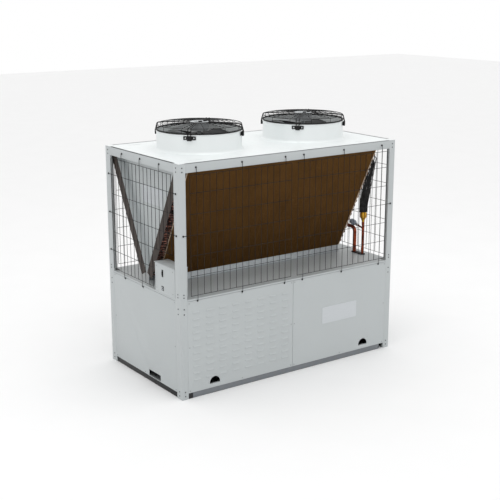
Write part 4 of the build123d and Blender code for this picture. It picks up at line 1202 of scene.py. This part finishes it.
@dataclass
class FanUnit:
    """One deck half with its fan: drawn ring, impeller, motor and guard."""

    unit: Unit
    side: Side
    steps: int = 120
    flare: float = 0.026
    sheet: float = 0.002
    wall: float = 0.003
    rim_bead: float = 0.004
    guard_wire: float = 0.0022
    ring_count: int = 7
    spoke_count: int = 12
    arm_wire: float = 0.0036
    arm_gap: float = 0.026
    rim_wire: float = 0.0065
    blade_count: int = 5

    def __post_init__(self) -> None:
        """Read the fan's own sizes from the frame."""
        low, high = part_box(f"impeller_{self.side.word}")
        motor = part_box(f"fan_motor_{self.side.word}")
        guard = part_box(f"fan_guard_{self.side.word}")
        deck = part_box(f"deck_{self.side.word}")
        self.centre = Vector(((motor[0].x + motor[1].x) / 2, 0, 0))
        self.tip = (high.y - low.y) / 2
        self.motor_radius = (motor[1].x - motor[0].x) / 2
        self.motor_top = motor[1].z
        self.ring_top = deck[1].z
        self.guard_top = guard[1].z - 0.0025
        self.ring_radius = 0.360
        self.hub_low = low.z

    @property
    def body(self) -> Body:
        """Return the body that the rotor rides on."""
        return Body[f"FAN_{self.side.name}"]

    def deck_mesh(self) -> bpy.types.Mesh:
        """Return the deck half with its ring drawn up out of the sheet."""
        low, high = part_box(f"deck_{self.side.word}")
        top = self.unit.deck_z
        corners = [math.atan2(y, x - self.centre.x) % math.tau for x in (low.x, high.x) for y in (low.y, high.y)]
        angles = sorted({math.tau * step / self.steps for step in range(self.steps)} | set(corners))
        edge = [self.to_edge(angle, low, high) for angle in angles]

        def square(inset: float, z: float) -> list[Vector]:
            """Return the sheet's outline drawn in by an inset."""
            return [Vector((min(max(point.x, low.x + inset), high.x - inset),
                            min(max(point.y, low.y + inset), high.y - inset), z)) for point in edge]

        def round_loop(radius: float, z: float) -> list[Vector]:
            """Return a circle about the fan's axis."""
            return [self.centre + Vector((radius * math.cos(a), radius * math.sin(a), z)) for a in angles]

        loops = [square(0.0, top - self.sheet), square(0.0, top - 0.0012), square(0.0012, top),
                 square(0.004, top)]
        foot = self.ring_radius + self.flare
        for step in range(9):
            angle = math.pi / 2 * step / 8
            loops.append(round_loop(foot - self.flare * math.sin(angle), top + self.flare * (1 - math.cos(angle))))
        crown, bead = self.ring_top, self.rim_bead
        loops += [round_loop(self.ring_radius, crown - 3 * bead), round_loop(self.ring_radius + bead, crown - 2 * bead),
                  round_loop(self.ring_radius + bead, crown - bead), round_loop(self.ring_radius, crown),
                  round_loop(self.ring_radius - self.wall, crown)]
        for step in reversed(range(9)):
            angle = math.pi / 2 * step / 8
            radius = foot - self.wall - self.flare * math.sin(angle)
            loops.append(round_loop(radius, top - self.sheet + self.flare * (1 - math.cos(angle))))
        shape = Shape()
        shape.loops(loops, closed=True)
        return coated(shape.mesh("deck", 0.6), DECK_PAINT)

    def to_edge(self, angle: float, low: Vector, high: Vector) -> Vector:
        """Return where a ray from the fan's axis meets the deck half's outline."""
        way = Vector((math.cos(angle), math.sin(angle), 0))
        reach = []
        for axis in (0, 1):
            if abs(way[axis]) > 1e-9:
                limit = high[axis] if way[axis] > 0 else low[axis]
                reach.append((limit - self.centre[axis]) / way[axis])
        return self.centre + way * min(reach)

    def guard_mesh(self, shop: Workshop) -> bpy.types.Mesh:
        """Return the wire guard with its twin arms, rim ring and clamps."""
        hub = self.motor_radius + 0.006
        knee, knee_z = self.ring_radius - 0.003, self.ring_top + 0.047
        rim_z = self.ring_top + self.rim_wire
        spoke = polylines([[(hub, 0, self.guard_top), (knee, 0, knee_z), (self.ring_radius, 0, rim_z)]])
        cage = shop.guard_tree.run(spoke, GUARD_WIRE, hub_radius=hub, knee_radius=knee,
                                   hub_height=self.guard_top, knee_height=knee_z, rings=self.ring_count,
                                   spokes=self.spoke_count, wire_radius=self.guard_wire)
        cage.transform(Matrix.Translation(self.centre) @ Matrix.Rotation(math.radians(3.75), 4, "Z"))
        foot, foot_z = self.ring_radius + 0.016, self.ring_top - 0.026
        arms = []
        for quarter in range(4):
            turn = Matrix.Rotation(math.radians(45 + 90 * quarter), 4, "Z")
            for offset in (-self.arm_gap / 2, self.arm_gap / 2):
                line = [(hub, offset * 0.5, self.guard_top + 0.003), (knee + 0.003, offset, knee_z + 0.004),
                        (foot, offset, foot_z + 0.02), (foot, offset, foot_z - 0.018)]
                arms.append([self.centre + turn @ Vector(point) for point in line])
        pieces = [cage, shop.wires(arms, self.arm_wire, GUARD_WIRE, 0.012, 8, 4)]
        pieces += [self.hoop(shop, self.ring_radius - 0.001, rim_z, self.rim_wire),
                   self.hoop(shop, knee, knee_z, self.guard_wire * 1.5),
                   self.hoop(shop, hub, self.guard_top, self.guard_wire * 1.5)]
        pieces += [self.clamp_mesh(quarter, foot_z) for quarter in range(4)]
        return joined(pieces, "guard")

    def hoop(self, shop: Workshop, radius: float, z: float, wire: float) -> bpy.types.Mesh:
        """Return a closed ring of round wire."""
        shape = Shape()
        profile = [(radius + wire * math.cos(a), z + wire * math.sin(a))
                   for a in (math.tau * step / 8 for step in range(8))]
        shape.lathe(profile, self.centre, 96)
        return coated(shape.mesh("hoop", 1.2), GUARD_WIRE)

    def clamp_mesh(self, quarter: int, foot_z: float) -> bpy.types.Mesh:
        """Return the bracket under one pair of arms: a plate with two square holes and a lug."""
        shape = Shape()
        half, hole, plate, tall = 0.052, 0.0065, 0.004, 0.014
        eye = 0.036
        for side in (-1, 1):
            inner, outer = side * (eye - hole), side * (eye + hole)
            low, high = min(inner, outer), max(inner, outer)
            shape.block((0, low, foot_z + hole), (plate, high, foot_z + tall))
            shape.block((0, low, foot_z - tall), (plate, high, foot_z - hole))
            far = sorted((outer, side * half))
            shape.block((0, far[0], foot_z - tall), (plate, far[1], foot_z + tall))
        shape.block((0, -(eye - hole), foot_z - tall), (plate, eye - hole, foot_z + tall))
        shape.block((plate, -0.019, foot_z - 0.021), (0.02, 0.019, foot_z + 0.016))
        mesh = coated(shape.mesh("clamp", 0.5, 0.0012), GUARD_WIRE)
        turn = Matrix.Rotation(math.radians(45 + 90 * quarter), 4, "Z")
        mesh.transform(Matrix.Translation(self.centre) @ turn @ Matrix.Translation((self.ring_radius + 0.0005, 0, 0)))
        return mesh

    def motor_mesh(self) -> bpy.types.Mesh:
        """Return the motor: a can with a stepped top, cooling ribs and two terminal boxes."""
        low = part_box(f"fan_motor_{self.side.word}")[0].z
        can_low, top, radius = self.motor_top - 0.076, self.motor_top, self.motor_radius
        shape = Shape()
        shape.lathe([(0, low), (0.016, low), (0.016, can_low), (radius * 0.9, can_low), (radius * 0.97, can_low + 0.008),
                     (radius * 0.97, top - 0.016), (radius, top - 0.014), (radius, top - 0.006),
                     (radius * 0.95, top - 0.002), (radius * 0.6, top - 0.002), (radius * 0.57, top - 0.006),
                     (radius * 0.25, top - 0.006), (radius * 0.22, top), (0, top)], self.centre, 48)
        can = coated(shape.mesh("can", 0.5), MOTOR_PAINT)
        ribs = Shape()
        for step in range(18):
            angle = math.tau * step / 18
            along = Vector((math.cos(angle), math.sin(angle), 0))
            aside = Vector((-along.y, along.x, 0)) * 0.0016
            corners = [along * 0.026 + aside, along * radius * 0.54 + aside, along * radius * 0.54 - aside,
                       along * 0.026 - aside]
            ribs.loops([[self.centre + corner + UP * z for corner in corners] for z in (top - 0.007, top - 0.0015)],
                       capped=True)
        boxes = Shape()
        for x, y in ((0.045, -0.022), (-0.02, -0.048)):
            middle = self.centre + Vector((x, y, 0))
            boxes.block(middle + Vector((-0.014, -0.01, top - 0.004)), middle + Vector((0.014, 0.01, top + 0.009)))
        return joined([can, coated(ribs.mesh("ribs", 0.5), MOTOR_PAINT),
                       coated(boxes.mesh("boxes", 0.5, 0.002), FAN_PLASTIC)], "motor")

    def blade_rings(self, hub_radius: float) -> list[list[Vector]]:
        """Return a blade's sections from its root to its tip."""
        rings = []
        sections, points = 10, 9
        for section in range(sections):
            share = section / (sections - 1)
            radius = hub_radius * 0.96 + (self.tip - hub_radius * 0.96) * share
            chord = 0.150 + 0.120 * share
            pitch = math.radians(38 - 21 * share ** 0.7)
            sweep = math.radians(16) * share ** 1.5
            upper, lower = [], []
            for step in range(points):
                along = -0.5 + step / (points - 1)
                bow = 0.09 * chord * (1 - 4 * along * along)
                thick = (0.0035 - 0.0015 * share) * math.sqrt(max(0.0, 1 - 4 * along * along)) + 0.0004
                for side, line in ((thick, upper), (-thick, lower)):
                    across, rise = along * chord, bow + side
                    y = across * math.cos(pitch) - rise * math.sin(pitch)
                    z = across * math.sin(pitch) + rise * math.cos(pitch)
                    turn = y / radius + sweep
                    line.append(Vector((radius * math.cos(turn), radius * math.sin(turn), z)))
            rings.append(upper + lower[::-1])
        return rings

    def impeller_mesh(self) -> bpy.types.Mesh:
        """Return the rotor: a dished hub with swept blades."""
        node = f"impeller_{self.side.word}"
        low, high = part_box(node)
        middle_z = (low.z + high.z) / 2
        hub_radius, half = 0.088, 0.043
        shape = Shape()
        shape.lathe([(0, -half + 0.017), (0.0163, -half + 0.017), (0.0163, half - 0.012), (0.03, half - 0.012),
                     (0.036, half - 0.002), (hub_radius - 0.008, half), (hub_radius, half - 0.008),
                     (hub_radius, -half + 0.012), (hub_radius - 0.012, -half), (0, -half)],
                    self.centre + UP * middle_z, 56)
        hub = coated(shape.mesh("hub", 0.6), FAN_PLASTIC)
        blades = Shape()
        rings = self.blade_rings(hub_radius)
        for number in range(self.blade_count):
            turn = Matrix.Rotation(math.tau * number / self.blade_count, 3, "Z")
            blades.loops([[self.centre + UP * middle_z + turn @ point for point in ring] for ring in rings],
                         capped=True)
        return joined([hub, coated(blades.mesh("blades", 0.7), FAN_PLASTIC)], "impeller")

    def build(self, shop: Workshop) -> None:
        """Build the fan unit's pieces."""
        word = self.side.word
        shop.place(f"deck_half_{word}", self.deck_mesh(), Body.CABINET, DECK_PAINT.slot, [f"deck_{word}"])
        shop.place(f"guard_{word}", self.guard_mesh(shop), Body.CABINET, GUARD_WIRE.slot, [f"fan_guard_{word}"])
        shop.place(f"motor_{word}", self.motor_mesh(), Body.CABINET, MOTOR_PAINT.slot, [f"fan_motor_{word}"])
        shop.place(f"rotor_{word}", self.impeller_mesh(), self.body, FAN_PLASTIC.slot, [f"impeller_{word}"])


@dataclass
class WireGuards:
    """The six wire panels round the coils."""

    unit: Unit
    fasteners: Fasteners
    wire: float = 0.0021
    count: int = 17
    margin: float = 0.0335
    margin_end: float = 0.027
    levels: tuple[float, ...] = (0.028, 0.190, 0.358, 0.526, 0.694, 0.862, 1.005)
    clip_drop: float = 0.020
    clip_rise: float = 0.035
    clip_reach: float = 0.062
    standoff: float = 0.0045

    def spread(self, low: float, high: float) -> list[float]:
        """Return evenly spaced places from low to high."""
        return [low + (high - low) * step / (self.count - 1) for step in range(self.count)]

    def panel(self, shop: Workshop, name: str, places: list[float], clips: list[float],
              run_ons: list[tuple[float, float]], matrix: Matrix, notch: tuple[float, float] | None = None) -> None:
        """Build one panel in its own plane and set it in place.

        Args:
            shop: The workshop.
            name: The CAD node that it stands for.
            places: Where its uprights stand.
            clips: The uprights that run on to clips above and below.
            run_ons: Levels, and the places that their wires run on to.
            matrix: Its place: X along it, Y out of the unit.
            notch: The edge and the height of a corner that is cut away.
        """
        unit = self.unit
        levels = [unit.cabinet_z + rise for rise in self.levels]
        low, high = levels[0], levels[-1]
        ends = unit.cabinet_z - self.clip_drop, unit.deck_z - self.clip_rise
        front, back = self.standoff + 2 * self.wire, self.standoff
        first, last = min(places), max(places)
        lines = []
        for place in places:
            foot = low
            if notch and place < notch[0] - 0.001:
                foot = notch[1]
            if place in clips:
                lines.append([(place, front, ends[0] if foot == low else foot), (place, front, ends[1])])
                for end in ends if foot == low else ends[1:]:
                    self.clip(matrix, place, end)
            else:
                lines.append([(place, front, foot), (place, front, high)])
        for level in levels:
            start = first
            if notch and level < notch[1] - 0.001:
                start = notch[0]
            lines.append([(start, back, level), (last, back, level)])
        for level, end in run_ons:
            edge = first if end < first else last
            lines.append([(edge, back, level), (end, back, level)])
            self.clip(matrix, end, level)
        if notch:
            lines.append([(first, back, notch[1]), (notch[0], back, notch[1])])
            lines.append([(notch[0], front, low), (notch[0], front, notch[1])])
        mesh = shop.wires(lines, self.wire, GUARD_WIRE, 0.0, 8)
        place_in(mesh, matrix)
        shop.place(name.replace("wire_guard", "wire_panel"), mesh, Body.CABINET, GUARD_WIRE.slot, [name])

    def clip(self, matrix: Matrix, along: float, level: float) -> None:
        """Ask for a clip at the end of a wire."""
        facing = (matrix.to_3x3() @ Vector((0, 1, 0))).normalized()
        self.fasteners.add(Head.WIRE_CLIP, matrix @ Vector((along, self.standoff * 0.2, level)), facing)

    def build(self, shop: Workshop) -> None:
        """Build the four long panels and the two end panels."""
        unit = self.unit
        outer = unit.half_length - unit.post_front_leg - self.margin
        places = self.spread(self.margin, outer)
        clips = [places[1], places[self.count // 2], places[-2]]
        run_on = [(unit.cabinet_z + self.levels[3], outer + self.clip_reach)]
        for face in Face:
            for side in Side:
                matrix = Matrix(((side.value, 0, 0, 0), (0, face.value, 0, face.value * unit.half_depth),
                                 (0, 0, 1, 0), (0, 0, 0, 1)))
                self.panel(shop, f"wire_guard_{face.word}_{side.word}", places, clips, run_on, matrix)
        half = unit.half_depth - unit.post_end_leg - self.margin_end
        places = self.spread(-half, half)
        clips = [places[3], places[self.count // 2], places[-4]]
        run_ons = [(unit.cabinet_z + self.levels[row], side * (half + self.clip_reach))
                   for row in (1, 3, 5) for side in (-1, 1)]
        box_low, box_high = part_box("isolator_box")
        for side in Side:
            matrix = Matrix(((0, side.value, 0, side.value * unit.half_length), (1, 0, 0, 0),
                             (0, 0, 1, 0), (0, 0, 0, 1)))
            notch = None
            wanted = run_ons
            if side is Side.LEFT:
                edge = min(place for place in places if place > box_high.y)
                shelf = min(unit.cabinet_z + rise for rise in self.levels if unit.cabinet_z + rise > box_high.z)
                notch = (edge, shelf)
                wanted = [(level, end) for level, end in run_ons if level > shelf or end > 0]
            self.panel(shop, f"wire_guard_end_{side.word}", places, clips, wanted, matrix, notch)


@dataclass
class IsolatorBox:
    """The isolator's sheet box with its handle and cable gland."""

    unit: Unit
    fasteners: Fasteners

    def build(self, shop: Workshop) -> None:
        """Build the box, its handle, its gland and ask for its screws."""
        shop.refine("isolator_box", PANEL_PAINT)
        low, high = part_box("isolator_fittings")
        middle = (low.y + high.y) / 2
        face_x = -self.unit.half_length
        fittings = Shape()
        fittings.block((face_x + 0.001, middle - 0.016, high.z - 0.067), (face_x + 0.009, middle + 0.016, high.z - 0.001))
        fittings.block((face_x - 0.006, middle - 0.007, high.z - 0.050), (face_x + 0.004, middle + 0.007, high.z - 0.018))
        fittings.block((face_x + 0.001, middle - 0.022, low.z + 0.001), (face_x + 0.009, middle + 0.022, low.z + 0.043))
        body = coated(fittings.mesh("fittings", 0.5, 0.002), FAN_PLASTIC)
        gland = Shape()
        gland.lathe([(0.008, 0.0), (0.008, 0.004), (0.014, 0.004), (0.014, 0.0)], Vector(), 24)
        ring = coated(gland.mesh("gland", 0.5), GALVANISED)
        ring.transform(Matrix.Translation((face_x + 0.001, middle, low.z + 0.022)) @ Matrix.Rotation(-math.pi / 2, 4, "Y"))
        shop.place("isolator_handle", joined([body, ring], "handle"), Body.CABINET, FAN_PLASTIC.slot,
                   ["isolator_fittings"])
        box_low, box_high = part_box("isolator_box")
        for y in (box_low.y + 0.03, box_high.y - 0.03):
            for z in (box_low.z + 0.03, box_high.z - 0.03):
                self.fasteners.add(Head.PANEL_SCREW, Vector((face_x, y, z)), LEFT)


@dataclass
class BlankPlates:
    """Two plain plates that fill the badge places."""

    unit: Unit
    thickness: float = 0.0016
    corner: float = 0.012

    def plate(self, width: float, height: float) -> bpy.types.Mesh:
        """Return a plate with rounded corners, flat in XZ with its face to -Y."""
        outline = []
        for corner, (sign_x, sign_z) in enumerate(((1, 1), (-1, 1), (-1, -1), (1, -1))):
            for step in range(7):
                angle = math.pi / 2 * (corner + step / 6)
                outline.append((sign_x * (width / 2 - self.corner) + self.corner * math.cos(angle),
                                sign_z * (height / 2 - self.corner) + self.corner * math.sin(angle)))
        shape = Shape()
        depths = ((0.0, 0.0), (0.0, -self.thickness * 0.6), (0.0006, -self.thickness))
        shape.loops([[Vector((x * (1 - 2 * inset / width), y, z * (1 - 2 * inset / height)))
                      for x, z in outline] for inset, y in depths], capped=True)
        return coated(shape.mesh("plate", 0.5), PLATE_METAL)

    def build(self, shop: Workshop) -> None:
        """Build the plate on the front right panel and the one on the left V panel."""
        front = self.plate(0.395, 0.152)
        front.transform(Matrix.Translation((0.522, -self.unit.half_depth - 0.0002, 0.452)))
        shop.place("plate_front", front, Body.CABINET, PLATE_METAL.slot)
        end = self.plate(0.330, 0.150)
        end.transform(Matrix.Translation((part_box("coil_front")[0].x - 0.0002, 0, 1.594)) @
                      Matrix.Rotation(-math.pi / 2, 4, "Z"))
        shop.place("plate_end", end, Body.CABINET, PLATE_METAL.slot)


@dataclass
class Studio:
    """Floor, soft lights and the camera at the photo's viewing angle."""

    camera_place: Point = (-5.172, -7.271, 3.2851)
    camera_turn: Point = (75.475, 0.0, -35.27)
    lens: float = 73.97
    sensor: float = 36.0
    sky: float = 1.0
    floor_size: float = 60.0

    def add_light(self, name: str, place: Point, aim: Point, size: float, power: float) -> None:
        """Add one soft area light that looks at a point."""
        light = bpy.data.lights.new(name, "AREA")
        light.size = size
        light.energy = power
        lamp = bpy.data.objects.new(name, light)
        lamp.location = place
        lamp.rotation_euler = (Vector(aim) - Vector(place)).to_track_quat("-Z", "Y").to_euler()
        bpy.context.scene.collection.objects.link(lamp)

    def build(self) -> None:
        """Set up the studio."""
        scene = bpy.context.scene
        scene.view_settings.view_transform = "Standard"
        world = bpy.data.worlds.new("studio")
        world.use_nodes = True
        backdrop = world.node_tree.nodes["Background"]
        backdrop.inputs["Color"].default_value = (1.0, 1.0, 1.0, 1.0)
        backdrop.inputs["Strength"].default_value = self.sky
        scene.world = world
        half = self.floor_size / 2
        ground = bpy.data.meshes.new("floor")
        ground.from_pydata([(-half, -half, 0), (half, -half, 0), (half, half, 0), (-half, half, 0)], [], [(0, 1, 2, 3)])
        floor = bpy.data.objects.new("floor", coated(ground, FLOOR))
        scene.collection.objects.link(floor)
        self.add_light("overhead", (-0.6, -0.8, 6.5), (0, 0, 1), 5.0, 90.0)
        camera_data = bpy.data.cameras.new("camera")
        camera_data.lens = self.lens
        camera_data.sensor_width = self.sensor
        camera = bpy.data.objects.new("camera", camera_data)
        camera.location = self.camera_place
        camera.rotation_euler = [math.radians(part) for part in self.camera_turn]
        scene.collection.objects.link(camera)
        scene.camera = camera


def main() -> None:
    """Build the unit's sub-assemblies in order."""
    logging.basicConfig(level=logging.INFO, format="%(name)s: %(message)s")
    shop = Workshop()
    unit = Unit()
    Studio().build()
    fasteners = Fasteners(unit)
    Cabinet(unit, fasteners).build(shop)
    CoilSection(unit).build(shop)
    for side in Side:
        FanUnit(unit, side).build(shop)
    WireGuards(unit, fasteners).build(shop)
    IsolatorBox(unit, fasteners).build(shop)
    BlankPlates(unit).build(shop)
    fasteners.build(shop)


if __name__ == "__main__":
    main()
